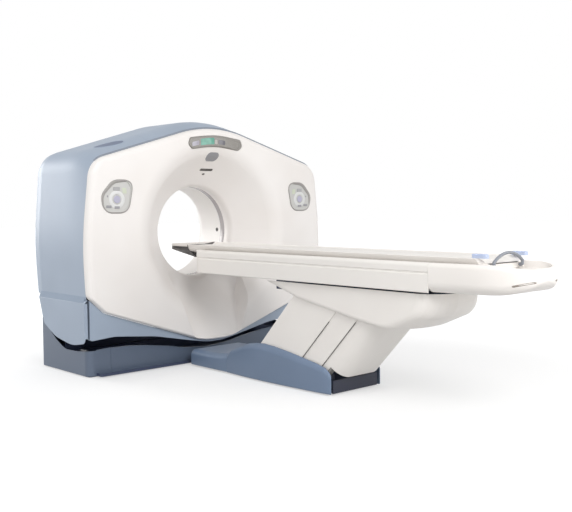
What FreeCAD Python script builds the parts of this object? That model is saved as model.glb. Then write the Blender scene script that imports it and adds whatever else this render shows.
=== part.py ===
import FreeCAD, Part

import math
import os
from functools import lru_cache

V = FreeCAD.Vector

# Frame: X across the gantry, +Y from the table foot to the gantry's back, +Z up, origin on the
# floor beneath the bore's centre.  Millimetres and degrees.

# ---- Gantry, driving dimensions ------------------------------------------------------------
ISO_Z = 1015.0            # height of the bore axis and of the tilt axis
BORE_R = 350.0
FACE_Y = -454.0           # foremost plane of the front cover
RIM_Y = -408.0            # plane where the front cover meets the side and top covers
BACK_Y = 494.0
WALL = 4.0                # moulded cover wall
SEAM = 1.5                # gap between neighbouring covers
CREASE_Z = 571.0          # lower edge of the side covers
CREASE_HALF = 1116.0
SIDE_Z = 960.0            # level where the side covers bow out furthest
SIDE_HALF = 1136.0
SIDE_BOW_R = 2500.0
BACK_ROUND = 260.0        # plan radius of the rear corners
BACK_START = BACK_Y - BACK_ROUND
TOP_SPLIT = 568.0         # half-width of the top cover
REAR_SPLIT = 300.0        # Y of the seam before the rear cover
FLARE_LIP_R = 190.0       # rounding of the bore mouth
FLARE_BREAK_Y = -173.0    # where the 45 degree mouth becomes the straight bore
REAR_FLARE_Y = 206.0
REAR_FLARE_R = 540.0
SCAN_RING_Y = (-78.0, -54.0)
# The shoulder (half-width, height, rounding) and the apex (height, rounding) rise from the rim.
SHOULDER_AT_RIM = (1072.0, 1532.0, 165.0)
SHOULDER_FULL = (1086.0, 1585.0, 190.0)
APEX_AT_RIM = (1848.0, 1060.0)
APEX_FULL = (1912.0, 900.0)
CROWN_Y = -153.0          # where the shell reaches its full height
CROWN_BANDS = 5
REAR_BANDS = 6
RIM_BANDS = 4

# ---- Display and control panels ------------------------------------------------------------
DISPLAY_Y = (FACE_Y - 6.0, -424.0)
SLIT = (18.0, 1494.0, 61.0, 9.0)       # x, z, half length, half height of the laser slit
OVAL = (4.0, 1590.0, 57.0, 33.0)
PAD_X = 881.0
PAD_Z = 1285.0
# Egg outline of the right control panel, pointing up and inwards.
PAD_SHAPE = [(-96.0, -120.0, 90.0), (112.0, -120.0, 90.0), (130.0, 10.0, 90.0),
             (35.0, 118.0, 110.0), (-142.0, 118.0, 70.0)]
PAD_DEPTH = 14.0
BUTTON_Z = -22.0          # round button below the panel's middle
BUTTON_R = 27.0
KEY_Z = 52.0
KEY_HALF = (26.0, 13.0)

# ---- Plinth and base -----------------------------------------------------------------------
PLINTH_HALF = 1049.0
PLINTH_FRONT = -302.0
PLINTH_BACK = 395.0
PLINTH_SEAM_X = 864.0
PLINTH_CORNER_R = 50.0
PLATE_T = 16.0            # floor plate of the gantry base
BEAM_TOP = 150.0          # top of the beams that carry the stanchions
STANCHION_X = (900.0, 1030.0)
TRUNNION_R = 45.0
RUN_FIT = 0.05            # radial clearance of a shaft in its bearing
ANCHOR_HOLE_R = 9.0
PLATE_Y = (-280.0, 375.0)
ANCHORS = ((800.0, -140.0), (800.0, 240.0))
SIDE_BEAM_X = (905.0, 1025.0)
STANCHION_Y = (64.0, 375.0)
REAR_PLATE_HALF = 890.0   # closes the plinth behind, between the side beams
REAR_PLATE_TOP = 190.0

# ---- Tilt drive ----------------------------------------------------------------------------
GEAR_MODULE = 5.0
SECTOR_TEETH = 72         # of the whole circle
SECTOR_SHOWN = 21         # teeth that the sector carries
PINION_TEETH = 12
SECTOR_R = GEAR_MODULE * SECTOR_TEETH / 2
PINION_R = GEAR_MODULE * PINION_TEETH / 2
GEAR_X = (866.0, 886.0)
PINION_SHAFT_R = 14.0
PINION_Z = ISO_Z - SECTOR_R - PINION_R
MOTOR_X = 1063.0
MOTOR_R = 32.0

# ---- Rotor ---------------------------------------------------------------------------------
ROTOR_R = 760.0
ROTOR_GAP = 18.0          # between the bore wall and the rotor
ROTOR_BORE = BORE_R + WALL + ROTOR_GAP
ROTOR_PLATE_Y = (60.0, 90.0)
ROTOR_SEAT = ROTOR_PLATE_Y[0]  # front face that the rotor's units stand on
ROTOR_FRONT = -190.0
BEARING_R = ROTOR_BORE + 53.0  # running circle between the two bearing rings
FRAME_PLATE_Y = (130.0, 170.0)
FRAME_PLATE_R = ROTOR_R + 21.0
ARM_X = (784.0, 860.0)

# ---- Table and lift ------------------------------------------------------------------------
REST_ANGLE = 46.6         # slope of the lift legs as modelled
LEG_LENGTH = 720.0
LEG_HALF = 27.0           # half depth of a leg
PIVOT_Z = 115.0
FRONT_PIVOT_Y = -1385.0
MID_PIVOT_Y = -1640.0
REAR_PIVOT_Y = -1790.0
LEG_X = (152.0, 205.0)
ARM_LINK_X = (60.0, 80.0)
PIVOT_PLATE_X = (120.0, 148.0)
LINK_PLATE_X = (95.0, 112.0)
PIVOT_R = 15.0
LINK_PIVOT_R = 12.0
LINK_PIN_R = 8.0
BASE_BOTTOM = 8.0
SLOT_HALF = 232.0         # half-width of the openings that the lift covers pass through
COVER_T = 4.0             # lift cover wall
FRONT_COVER_X = 222.0     # inner faces of the three nested lift covers
MID_COVER_X = 216.0
REAR_COVER_X = 210.0
RAIL_X = (95.0, 145.0)
RAIL_Z = (640.0, 715.0)
CRANK_R = 60.0            # actuator crank on the front leg
CRANK_REST = 14.85        # crank's lean from straight down at rest
ROD_R = 12.0
FRAME_HALF = 250.0        # upper frame cover
FRAME_TOP = 706.0
FRAME_EDGE_R = 24.0       # rounding of its side edges
FRAME_PLAN_DROP = 150.0    # how far its foot end draws back towards the corners
FRAME_BANDS = 3
CRADLE_HALF = 215.0
CRADLE_SIDE_GAP = 13.0    # between the cradle and the walls of the support
SUPPORT_RAIL = 50.0       # width of the support's top rail on each side
BAY_HALF = CRADLE_HALF + CRADLE_SIDE_GAP
SUPPORT_HALF = BAY_HALF + SUPPORT_RAIL
SUPPORT_Z = (718.0, 887.0)
SUPPORT_Y = (-521.0, -2703.0)
DECK_Z = 840.0
FOOT_Y = -3283.0
CRADLE_Y = (-165.0, -3010.0)
CRADLE_TOP = 921.0
CRADLE_BOTTOM = 853.0
DISH_Z = 884.0            # floor of the cradle's dish
DISH_HALF = 150.0         # where the dish's floor meets its sloping sides
DISH_R = 90.0
DISH_SLOPE = 0.66
MAT_HALF = 182.0
MAT_GAP = 0.3
TIP_Y = -95.0              # cradle tip, inside the bore
TIP_BACK_Y = -365.0
HANDLE_Y = CRADLE_Y[1] - 16.0
HANDLE_Z = 873.0
HANDLE_TOP = 946.0        # middle of the arched bar at its highest
HANDLE_REACH = 140.0
HANDLE_BAR_R = 9.0
BAY_WALL = 47.0           # thickness of the foot end behind the cradle bay
GRIP_HALF = 82.5          # grip slot in the foot end
GRIP_RISE = 10.0


# ---- Helpers -------------------------------------------------------------------------------
def at(plane, u, v, w):
    """Point of a sketch (u, v) at offset w of its plane."""
    if plane == "xz":
        return V(u, w, v)
    if plane == "yz":
        return V(w, u, v)
    return V(u, v, w)


def wire(points, plane, w):
    """Closed wire through (u, v) or (u, v, radius) points, corners rounded by their radius."""
    corners = [tuple(p) + (0.0,) * (3 - len(p)) for p in points]
    count = len(corners)
    pieces = []
    for i in range(count):
        u, v, radius = corners[i]
        before = corners[i - 1]
        after = corners[(i + 1) % count]
        if radius <= 0:
            pieces.append(((u, v), None, (u, v)))
            continue
        a = V(before[0] - u, before[1] - v, 0).normalize()
        b = V(after[0] - u, after[1] - v, 0).normalize()
        half = a.getAngle(b) / 2
        reach = radius / math.tan(half)
        m = (a + b).normalize() * (radius / math.sin(half) - radius)
        start = (u + a.x * reach, v + a.y * reach)
        end = (u + b.x * reach, v + b.y * reach)
        pieces.append((start, (u + m.x, v + m.y), end))
    edges = []
    for i in range(count):
        start, middle, end = pieces[i]
        if middle is not None:
            arc = Part.Arc(at(plane, *start, w), at(plane, *middle, w), at(plane, *end, w))
            edges.append(arc.toShape())
        target = pieces[(i + 1) % count][0]
        if math.dist(end, target) > 0.001:
            edges.append(Part.makeLine(at(plane, *end, w), at(plane, *target, w)))
    return Part.Wire(edges)


def prism(points, plane, low, high):
    """Solid between offsets low and high of a plane, with the rounded polygon as section."""
    push = at(plane, 0, 0, high - low) if plane != "xy" else V(0, 0, high - low)
    return Part.Face(wire(points, plane, low)).extrude(push)


def loft(sections, plane):
    """Solid through (points, offset) sections that all have the same kind of outline."""
    return Part.makeLoft([wire(points, plane, w) for points, w in sections], True, True)


def refined(stations, steps):
    """More stations, on a smooth curve through the given ones; steps go between each two."""
    last = len(stations) - 1
    result = []
    for i in range(last):
        around = [stations[max(i - 1, 0)], stations[i], stations[i + 1],
                  stations[min(i + 2, last)]]
        for k in range(steps):
            t = k / steps
            result.append(tuple(
                b + t * (c - a + t * (2 * a - 5 * b + 4 * c - d + t * (3 * (b - c) + d - a))) / 2
                for a, b, c, d in zip(*around)))
    return result + [stations[-1]]


def inset(points, distances):
    """Counter-clockwise outline moved inwards, by one distance or by one for each edge."""
    count = len(points)
    if not isinstance(distances, (list, tuple)):
        distances = [distances] * count
    lines = []
    for i in range(count):
        p = points[i]
        q = points[(i + 1) % count]
        length = math.dist(p[:2], q[:2])
        d = ((q[0] - p[0]) / length, (q[1] - p[1]) / length)
        lines.append(((p[0] - d[1] * distances[i], p[1] + d[0] * distances[i]), d))
    moved = []
    for i in range(count):
        p, d = lines[i - 1]
        q, e = lines[i]
        turn = d[0] * e[1] - d[1] * e[0]
        radius = points[i][2] if len(points[i]) > 2 else 0.0
        if abs(turn) < 1e-9:
            moved.append((q[0], q[1], radius))
            continue
        t = ((q[0] - p[0]) * e[1] - (q[1] - p[1]) * e[0]) / turn
        shift = (distances[i - 1] + distances[i]) / 2
        if radius > 0:
            radius = max(radius - math.copysign(shift, turn), 2.0)
        moved.append((p[0] + d[0] * t, p[1] + d[1] * t, radius))
    return moved


def both_sides(right_points):
    """Closed counter-clockwise outline from its right half, listed from bottom to top."""
    left = [(-p[0],) + tuple(p[1:]) for p in reversed(right_points) if p[0] != 0]
    return list(right_points) + left


def turned(points, about_z=ISO_Z):
    """Solid of revolution about the bore axis, from (radius, y) points."""
    section = wire(points, "xy", about_z)
    return Part.Face(section).revolve(V(0, 0, about_z), V(0, 1, 0), 360)


def ring(inner, outer, low, high):
    return turned([(inner, low), (outer, low), (outer, high), (inner, high)])


def cylinder(radius, low, high, axis, a, b):
    """Round bar along an axis between low and high; a and b are its other two coordinates."""
    span = high - low
    if axis == "x":
        return Part.makeCylinder(radius, span, V(low, a, b), V(1, 0, 0))
    if axis == "y":
        return Part.makeCylinder(radius, span, V(a, low, b), V(0, 1, 0))
    return Part.makeCylinder(radius, span, V(a, b, low), V(0, 0, 1))


def box(x, y, z):
    lows = V(min(x), min(y), min(z))
    return Part.makeBox(abs(x[1] - x[0]), abs(y[1] - y[0]), abs(z[1] - z[0]), lows)


def mirrored(shape):
    return shape.mirror(V(0, 0, 0), V(1, 0, 0))


def with_mirror(shape):
    """The shape and its mirror image as a list."""
    return [shape, mirrored(shape)]


def fused(first, *others):
    result = first
    for other in others:
        result = result.fuse(other)
    return result.removeSplitter()


def cut(shape, *tools):
    result = shape
    for tool in tools:
        result = result.cut(tool)
    return result


def biggest(shape):
    return max(shape.Solids, key=lambda solid: solid.Volume)


# ---- Gantry shell --------------------------------------------------------------------------
def shell_outline(depth):
    """Shell's section at a depth, its crown rising evenly to full height."""
    share = min((depth - RIM_Y) / (CROWN_Y - RIM_Y), 1.0)
    rise = 1.0 - (1.0 - share) ** 2
    shoulder = tuple(a + (b - a) * rise for a, b in zip(SHOULDER_AT_RIM, SHOULDER_FULL))
    apex = tuple(a + (b - a) * rise for a, b in zip(APEX_AT_RIM, APEX_FULL))
    return both_sides([(CREASE_HALF, CREASE_Z), (SIDE_HALF, SIDE_Z, SIDE_BOW_R), shoulder,
                       (0.0,) + apex])


@lru_cache
def shell_form(wall, drop=0.0):
    """The whole blue shell as one solid, drawn in by a wall; drop lowers its bottom edge."""
    def section(depth, distance):
        return inset(shell_outline(depth), [distance] * 6 + [-drop])

    crown = [RIM_Y + (CROWN_Y - RIM_Y) * i / CROWN_BANDS for i in range(CROWN_BANDS + 1)]
    sections = [(section(depth, wall), depth) for depth in crown]
    radius = BACK_ROUND - wall
    for i in range(REAR_BANDS + 1):
        turn = math.radians(90.0 * i / REAR_BANDS)
        distance = BACK_ROUND - radius * math.cos(turn)
        sections.append((section(CROWN_Y, distance), BACK_START + radius * math.sin(turn)))
    return loft(sections, "xz")


@lru_cache
def shell(drop=0.0):
    hollow = shell_form(WALL, drop + 50.0)
    ahead = inset(shell_outline(RIM_Y), [WALL] * 6 + [-drop - 50.0])
    return cut(shell_form(0.0, drop), hollow, prism(ahead, "xz", RIM_Y - 10, RIM_Y + 1))


@lru_cache
def bore_void(grow=0.0):
    """Bore with its front and rear mouths; grow makes it larger all round."""
    mouth = BORE_R + grow + (FLARE_BREAK_Y - FACE_Y)
    outside = FACE_Y - 60.0
    behind = BACK_Y + 60.0
    slope = (REAR_FLARE_R - BORE_R) / (BACK_Y - REAR_FLARE_Y)
    spread = REAR_FLARE_R + grow
    return turned([
        (0.0, outside), (mouth + FLARE_LIP_R, outside), (mouth + FLARE_LIP_R, FACE_Y),
        (mouth, FACE_Y, FLARE_LIP_R - grow), (BORE_R + grow, FLARE_BREAK_Y, 80.0),
        (BORE_R + grow, REAR_FLARE_Y, 60.0), (spread, BACK_Y, 60.0),
        (spread + 60.0 * slope + 60.0, BACK_Y), (spread + 60.0 * slope + 60.0, behind),
        (0.0, behind)])


def trough_void(grow=0.0):
    """Scoop under the bore that the table enters when the gantry leans forward."""
    top = ISO_Z + 30.0
    start = [(130.0, 690.0, 120.0), (290.0, 830.0, 220.0), (300.0, top)]
    middle = [(300.0, 498.0, 60.0), (348.0, 700.0, 150.0), (392.0, top)]
    lip = [(212.0, 208.0, 70.0), (330.0, 500.0, 300.0), (520.0, top)]
    sections = []
    for half, depth, spread in ((start, FLARE_BREAK_Y, 0.0), (middle, -285.0, 0.0),
                                (lip, FACE_Y + 16.0, 0.0), (lip, FACE_Y + 5.0, 5.0),
                                (lip, FACE_Y - 3.0, 18.0)):
        outline = both_sides(half)
        sections.append((inset(outline, -spread - grow), depth))
    return loft(sections, "xz")


def front_outline():
    """White front cover: lower edge rising outwards, then the shell's own sides and top."""
    share = (590.0 - CREASE_Z) / (SIDE_Z - CREASE_Z)
    corner = CREASE_HALF + (SIDE_HALF - CREASE_HALF) * share
    return both_sides([
        (120.0, 178.0, 500.0), (985.0, 470.0, 120.0), (corner, 590.0, 60.0),
        (SIDE_HALF, SIDE_Z, SIDE_BOW_R), SHOULDER_AT_RIM, (0.0,) + APEX_AT_RIM])


def front_edges(distance, lower):
    """Inset of the front outline's edges; the lower three pairs take their own value."""
    return [lower, lower, distance, distance, distance, distance, distance, distance,
            lower, lower, lower]


def front_block(wall):
    """Front cover's outer form with its rounded rim, drawn in by a wall."""
    rim = RIM_Y - FACE_Y
    radius = rim - wall
    sections = []
    for i in range(RIM_BANDS + 1):
        rise = math.radians(90.0 * i / RIM_BANDS)
        distance = rim - radius * math.cos(rise)
        lower = wall + (distance - wall) * 0.35
        outline = inset(front_outline(), front_edges(distance, lower))
        sections.append((outline, RIM_Y - radius * math.sin(rise)))
    return loft(sections, "xz")


DISPLAY_SHAPE = both_sides([(0.0, 1673.0, 800.0), (222.0, 1640.0, 30.0),
                            (262.0, 1672.0, 30.0), (246.0, 1725.0, 30.0),
                            (0.0, 1757.0, 900.0)])


def rounded_box_outline(x, z, half, rise, radius):
    """Rectangle about (x, z) with rounded corners."""
    return [(x - half, z - rise, radius), (x + half, z - rise, radius),
            (x + half, z + rise, radius), (x - half, z + rise, radius)]


def slot_outline(x, z, half, rise):
    """Flat oval of a given half length and half height."""
    return rounded_box_outline(x, z, half, rise, rise - 0.01)


def pad_outline(grow=0.0):
    points = [(PAD_X + p[0], PAD_Z + p[1], p[2]) for p in PAD_SHAPE]
    return inset(points, -grow)


def front_cover():
    flange = prism(inset(front_outline(), WALL + 1.0), "xz", RIM_Y - 1.0, RIM_Y + 16.0)
    body = front_block(0.0).fuse(flange)
    hollow = front_block(WALL).fuse(
        prism(inset(front_outline(), 2 * WALL), "xz", RIM_Y - 2.0, RIM_Y + 20.0))
    funnel = bore_void(WALL).fuse(trough_void(WALL))
    keep = turned([(0.0, FACE_Y), (2000.0, FACE_Y), (2000.0, SCAN_RING_Y[0] - SEAM / 3),
                   (0.0, SCAN_RING_Y[0] - SEAM / 3)])
    inside = prism(inset(front_outline(), front_edges(1.0, 1.0)), "xz", FACE_Y, 0.0)
    throat = funnel.common(keep).common(front_block(0.0).fuse(
        cut(inside, box((-1300, 1300), (FACE_Y - 1, RIM_Y), (0, 2000)))))
    solid = body.cut(hollow).fuse(throat)
    solid = cut(solid, bore_void(), trough_void())
    solid = cut(solid, prism(inset(DISPLAY_SHAPE, -1.0), "xz", FACE_Y - 20, -380.0))
    solid = cut(solid, prism(slot_outline(*SLIT), "xz", FACE_Y - 20, -220.0))
    pocket = prism(pad_outline(1.0), "xz", FACE_Y - 20, FACE_Y + PAD_DEPTH + 10.0)
    solid = cut(solid, *with_mirror(pocket))
    return biggest(solid)


def side_cover():
    """Right side cover with its shoulder recess and an inner stiffening rib."""
    low = RIM_Y + SEAM
    part = shell().common(box((TOP_SPLIT + SEAM, 1300), (low, REAR_SPLIT - SEAM), (0, 2000)))
    outline = shell_outline(CROWN_Y)
    rib = prism(inset(outline, WALL / 2), "xz", 90.0, 94.0)
    rib = rib.cut(prism(inset(outline, [WALL + 14.0] * 6 + [-5.0]), "xz", 85.0, 99.0))
    rib = rib.common(box((TOP_SPLIT + SEAM + 6, 1300), (80, 100), (0, 2000)))
    pocket = prism([(582.0, -132.0, 26.0), (824.0, -132.0, 26.0), (824.0, -78.0, 26.0),
                    (582.0, -78.0, 26.0)], "xy", 1500.0, 1900.0)
    slope = prism([(540.0, 1770.0), (860.0, 1676.0), (860.0, 1900.0), (540.0, 1900.0)],
                  "xz", -160.0, -50.0)
    tray = prism([(574.0, -140.0, 30.0), (832.0, -140.0, 30.0), (832.0, -70.0, 30.0),
                  (574.0, -70.0, 30.0)], "xy", 1500.0, 1900.0)
    roof = shell_form(0.0)
    low_roof = roof.translated(V(0, 0, -14.0))
    deep_roof = roof.translated(V(0, 0, -14.0 - WALL))
    dish = pocket.common(roof).cut(low_roof).common(slope)
    backing = tray.common(roof.cut(deep_roof)).common(slope)
    return biggest(part.fuse(rib).fuse(backing).cut(dish))


def top_cover():
    low = RIM_Y + SEAM
    part = shell().common(box((-TOP_SPLIT, TOP_SPLIT), (low, REAR_SPLIT - SEAM), (1500, 2000)))
    outline = shell_outline(CROWN_Y)
    rib = prism(inset(outline, WALL / 2), "xz", 90.0, 94.0)
    rib = rib.cut(prism(inset(outline, WALL + 14.0), "xz", 85.0, 99.0))
    rib = rib.common(box((-TOP_SPLIT, TOP_SPLIT), (80, 100), (1500, 2000)))
    return biggest(part.fuse(rib))


def side_skirt():
    """Right lower side panel: chamfered top edge, rounded lower edge, return at the front."""
    outer = CREASE_HALF + 16.0
    top = CREASE_Z - SEAM
    outline = [(RIM_Y - 3.0, top), (RIM_Y - 3.0, 268.0, 40.0), (-228.0, 238.0, 400.0),
               (5.0, 275.0, 300.0), (186.0, 360.0, 60.0), (262.0, top)]
    section = [(outer - 5.0, 200.0), (outer, 200.0), (outer, top - 20.0, 12.0),
               (CREASE_HALF + 1.0, top), (CREASE_HALF - 8.0, top),
               (CREASE_HALF - 8.0, top - 5.0), (outer - 5.0, top - 24.0, 12.0)]
    panel = prism(outline, "yz", outer - 40.0, outer)
    panel = panel.common(prism(section, "xz", RIM_Y - 4.0, 300.0))
    flange = box((outer - 24.0, outer - 2.0), (RIM_Y - 3.0, RIM_Y + 1.0), (300.0, top - 24.0))
    return biggest(panel.fuse(flange))


def lower_front_band():
    """Blue band under the white cover: a tray that opens to the back."""
    y = RIM_Y - 4.0
    outline = both_sides([
        (60.0, 164.0, 300.0), (153.0, 178.0, 800.0), (326.0, 212.0, 800.0),
        (550.0, 258.0, 600.0), (897.0, 294.0, 300.0), (1092.0, 280.0, 20.0), (1092.0, 562.0)])
    hollow = inset(outline, [WALL] * 6 + [-60.0] + [WALL] * 7)
    tray = prism(outline, "xz", y, RIM_Y + 36.0).cut(prism(hollow, "xz", y + WALL, 0.0))
    above = prism(inset(front_outline(), -SEAM), "xz", y - 10.0, 0.0)
    return biggest(tray.cut(above))


def rear_cover():
    drop = 171.0
    part = shell(drop).common(box((-1300, 1300), (REAR_SPLIT, 600), (0, 2000)))
    wall = bore_void(WALL).common(turned([(0, SCAN_RING_Y[1] + SEAM / 3), (1500, SCAN_RING_Y[1]
                                  + SEAM / 3), (1500, BACK_Y), (0, BACK_Y)]))
    solid = part.fuse(wall).cut(bore_void())
    inner = STANCHION_X[0] - 20.0
    outer = STANCHION_X[1] + 45.0
    notch = prism([(inner, 100.0), (1300.0, 100.0), (1300.0, CREASE_Z), (outer, CREASE_Z),
                   (outer, 660.0, 20.0), (inner, 660.0, 30.0)], "xz", 0.0, 600.0)
    solid = cut(solid, *with_mirror(notch))
    port = cylinder(16.5, BORE_R - 20, BORE_R + 20, "x", -7.0, ISO_Z)
    solid = cut(solid, *with_mirror(port))
    return biggest(solid)


def scan_window():
    return ring(BORE_R, BORE_R + 3.0, *SCAN_RING_Y)


def laser_port():
    """Right bore laser window: a lens plug with a flange behind the bore wall."""
    lens = cylinder(16.0, BORE_R - 1.0, BORE_R + WALL + 10.0, "x", -7.0, ISO_Z)
    flange = cylinder(22.0, BORE_R + WALL + 1.5, BORE_R + WALL + 6.0, "x", -7.0, ISO_Z)
    return lens.fuse(flange)


def laser_slit():
    outline = slot_outline(SLIT[0], SLIT[1], SLIT[2] - 0.5, SLIT[3] - 0.5)
    plug = prism(outline, "xz", FACE_Y, -220.0)
    return biggest(plug.common(bore_void(14.0)).cut(bore_void(2.5)))


def oval_plate():
    """Plain plate that follows the curve of the bore's mouth."""
    plate = prism(slot_outline(OVAL[0], OVAL[1], OVAL[2], OVAL[3]), "xz", FACE_Y - 1, -330.0)
    return biggest(plate.common(bore_void(-0.3)).cut(bore_void(-3.0)))


def display_bezel():
    bean = DISPLAY_SHAPE
    body = loft([(inset(bean, 6.0), DISPLAY_Y[0]), (inset(bean, 1.5), DISPLAY_Y[0] + 4.0),
                 (bean, DISPLAY_Y[0] + 12.0), (bean, DISPLAY_Y[1])], "xz")
    body = body.cut(prism(inset(bean, 5.0), "xz", DISPLAY_Y[1] - 16.0, DISPLAY_Y[1] + 1))
    window = inset(bean, 14.0)
    return body.cut(prism(window, "xz", DISPLAY_Y[0] - 1.0, DISPLAY_Y[0] + 2.5))


def display_screen():
    window = inset(DISPLAY_SHAPE, 14.3)
    return prism(window, "xz", DISPLAY_Y[0] + 0.7, DISPLAY_Y[0] + 2.5)


def pad_key(grow=0.0):
    half, rise = KEY_HALF
    return rounded_box_outline(PAD_X, PAD_Z + KEY_Z, half + grow, rise + grow, 6.0)


def control_panel():
    """Right control panel: egg-shaped dish in the cover with bores for its buttons."""
    face = FACE_Y + 3.0
    back = FACE_Y + PAD_DEPTH + 8.0
    rim = loft([(pad_outline(-3.0), FACE_Y - 3.0), (pad_outline(0.0), FACE_Y + 1.0)], "xz")
    body = rim.fuse(prism(pad_outline(0.0), "xz", FACE_Y + 1.0, back))
    body = body.cut(prism(pad_outline(-12.0), "xz", FACE_Y - 10.0, face))
    bore = cylinder(BUTTON_R + 0.5, FACE_Y - 10, back - 6.0, "y", PAD_X, PAD_Z + BUTTON_Z)
    body = body.cut(bore).cut(prism(pad_key(0.5), "xz", FACE_Y - 10.0, back - 6.0))
    collar = cut(cylinder(BUTTON_R + 8.0, face - 3.0, face, "y", PAD_X, PAD_Z + BUTTON_Z), bore)
    body = body.fuse(collar)
    for x, z in ((0.0, -78.0), (66.0, -72.0)):
        key = rounded_box_outline(PAD_X + x, PAD_Z + z, 24.0, 11.0, 5.0)
        body = body.fuse(prism(key, "xz", face - 1.5, face + 1.0))
    return biggest(body)


def round_button():
    crown = PAD_Z + BUTTON_Z
    y = FACE_Y - 4.0
    cap = Part.makeCone(BUTTON_R - 3.0, BUTTON_R, 3.0, V(PAD_X, y, crown), V(0, 1, 0))
    return cap.fuse(cylinder(BUTTON_R, y + 3.0, y + 14.0, "y", PAD_X, crown)).removeSplitter()


def key_button():
    y = FACE_Y - 1.0
    outline = pad_key()
    return loft([(inset(outline, 1.5), y), (outline, y + 2.0), (outline, y + 12.0)], "xz")


# ---- Gantry structure ----------------------------------------------------------------------
def gantry_base_frame():
    plate = [(-1030.0, PLATE_Y[0], 20.0), (1030.0, PLATE_Y[0], 20.0), (1030.0, PLATE_Y[1], 20.0),
             (-1030.0, PLATE_Y[1], 20.0)]
    window = [(80.0, -180.0, 40.0), (640.0, -180.0, 40.0), (640.0, 200.0, 40.0),
              (80.0, 200.0, 40.0)]
    window = prism(window, "xy", -1.0, PLATE_T + 1)
    body = cut(prism(plate, "xy", 0.0, PLATE_T), *with_mirror(window))
    side = box(SIDE_BEAM_X, (-60.0, PLATE_Y[1]), (PLATE_T, BEAM_TOP))
    side = side.cut(box((SIDE_BEAM_X[0] + 8, SIDE_BEAM_X[1] - 8), (-70.0, PLATE_Y[1] + 1),
                        (PLATE_T, BEAM_TOP - 10.0)))
    rear = box((-SIDE_BEAM_X[0], SIDE_BEAM_X[0]), (290.0, 370.0), (PLATE_T, 100.0))
    rear = rear.cut(box((-SIDE_BEAM_X[0], SIDE_BEAM_X[0]), (298.0, 362.0), (PLATE_T, 92.0)))
    back_plate = box((-REAR_PLATE_HALF, REAR_PLATE_HALF), (362.0, 370.0), (90.0, REAR_PLATE_TOP))
    front = box((-1020.0, 1020.0), (-270.0, -220.0), (PLATE_T, 66.0))
    front = front.cut(box((-1021.0, 1021.0), (-264.0, -226.0), (PLATE_T, 60.0)))
    body = fused(body, rear, back_plate, front, *with_mirror(side))
    for x, y in ANCHORS:
        body = cut(body, *with_mirror(cylinder(ANCHOR_HOLE_R, -1, PLATE_T + 1, "z", x, y)))
    return biggest(body)


def stanchion():
    """Right stanchion: boxed column with a bearing eye for the trunnion."""
    top = 110.0
    outline = [(STANCHION_Y[0], BEAM_TOP), (STANCHION_Y[1], BEAM_TOP), (STANCHION_Y[1], 345.0, 20.0),
               (200.0, 410.0, 60.0), (130.0, 700.0, 200.0), (top, ISO_Z + top, top - 2.0),
               (-top, ISO_Z + top, top - 2.0), (-top, 480.0, 60.0), (-45.0, 330.0, 60.0),
               (STANCHION_Y[0], 200.0, 30.0)]
    body = prism(outline, "yz", *STANCHION_X)
    low_pocket = [(80.0, BEAM_TOP + 14, 10.0), (360.0, BEAM_TOP + 14, 10.0), (360.0, 320.0, 10.0),
                  (185.0, 385.0, 30.0), (150.0, 480.0, 30.0), (0.0, 480.0, 30.0),
                  (0.0, 340.0, 30.0)]
    high_pocket = [(-92.0, 510.0, 20.0), (130.0, 510.0, 20.0), (105.0, 730.0, 20.0),
                   (-92.0, 730.0, 20.0)]
    for pocket in (low_pocket, high_pocket):
        body = body.cut(prism(pocket, "yz", STANCHION_X[0] + 12.0, STANCHION_X[1] + 1.0))
    eye = cylinder(TRUNNION_R + RUN_FIT, STANCHION_X[0] - 1, STANCHION_X[1] + 1, "x", 0.0, ISO_Z)
    cap = cylinder(78.0, STANCHION_X[1] - 1.0, STANCHION_X[1] + 12.0, "x", 0.0, ISO_Z)
    pinion = cylinder(PINION_SHAFT_R + RUN_FIT, STANCHION_X[0] - 1, STANCHION_X[1] + 1, "x", 0.0,
                      PINION_Z)
    return biggest(cut(body.fuse(cap), eye, pinion))


def tilt_gear_motor():
    """Worm gearbox on the right stanchion with its motor hanging beneath it."""
    face = STANCHION_X[1]
    housing = [(-70.0, PINION_Z - 80.0, 20.0), (70.0, PINION_Z - 80.0, 20.0),
               (70.0, PINION_Z + 70.0, 20.0), (-70.0, PINION_Z + 70.0, 20.0)]
    body = prism(housing, "yz", face + 0.5, 1098.0)
    for i in range(4):
        z = PINION_Z - 55.0 + 36.0 * i
        body = body.cut(box((1088.0, 1100.0), (-50.0, 50.0), (z, z + 14.0)))
    motor = cylinder(MOTOR_R, PINION_Z - 225.0, PINION_Z - 70.0, "z", MOTOR_X, 0.0)
    for i in range(4):
        z = PINION_Z - 200.0 + 28.0 * i
        motor = motor.cut(ring_z(MOTOR_R - 4.0, MOTOR_R + 1.0, z, z + 12.0, MOTOR_X, 0.0))
    body = body.fuse(motor)
    eye = cylinder(PINION_SHAFT_R + RUN_FIT, face - 1, face + 44.0, "x", 0.0, PINION_Z)
    return biggest(body.cut(eye))


def ring_z(inner, outer, low, high, x, y):
    return cut(cylinder(outer, low, high, "z", x, y), cylinder(inner, low, high, "z", x, y))


def gear_points(teeth, z, centre_angle, count, inner):
    """Outline of a toothed arc or wheel: flat-topped teeth, thinner than their gaps."""
    pitch = 360.0 / teeth
    radius = GEAR_MODULE * teeth / 2
    tip = radius + 0.7 * GEAR_MODULE
    root = radius - 1.0 * GEAR_MODULE
    points = []
    for i in range(count):
        middle = centre_angle + (i - (count - 1) / 2) * pitch
        for share, r in ((-0.27, root), (-0.12, tip), (0.12, tip), (0.27, root)):
            a = math.radians(middle + share * pitch)
            points.append((r * math.cos(a), z + r * math.sin(a)))
    if inner > 0:
        half = math.radians(count / 2 * pitch)
        middle = math.radians(centre_angle)
        for side in (1, -1):
            a = middle + side * half
            points.append((inner * math.cos(a), z + inner * math.sin(a)))
    return points


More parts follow.
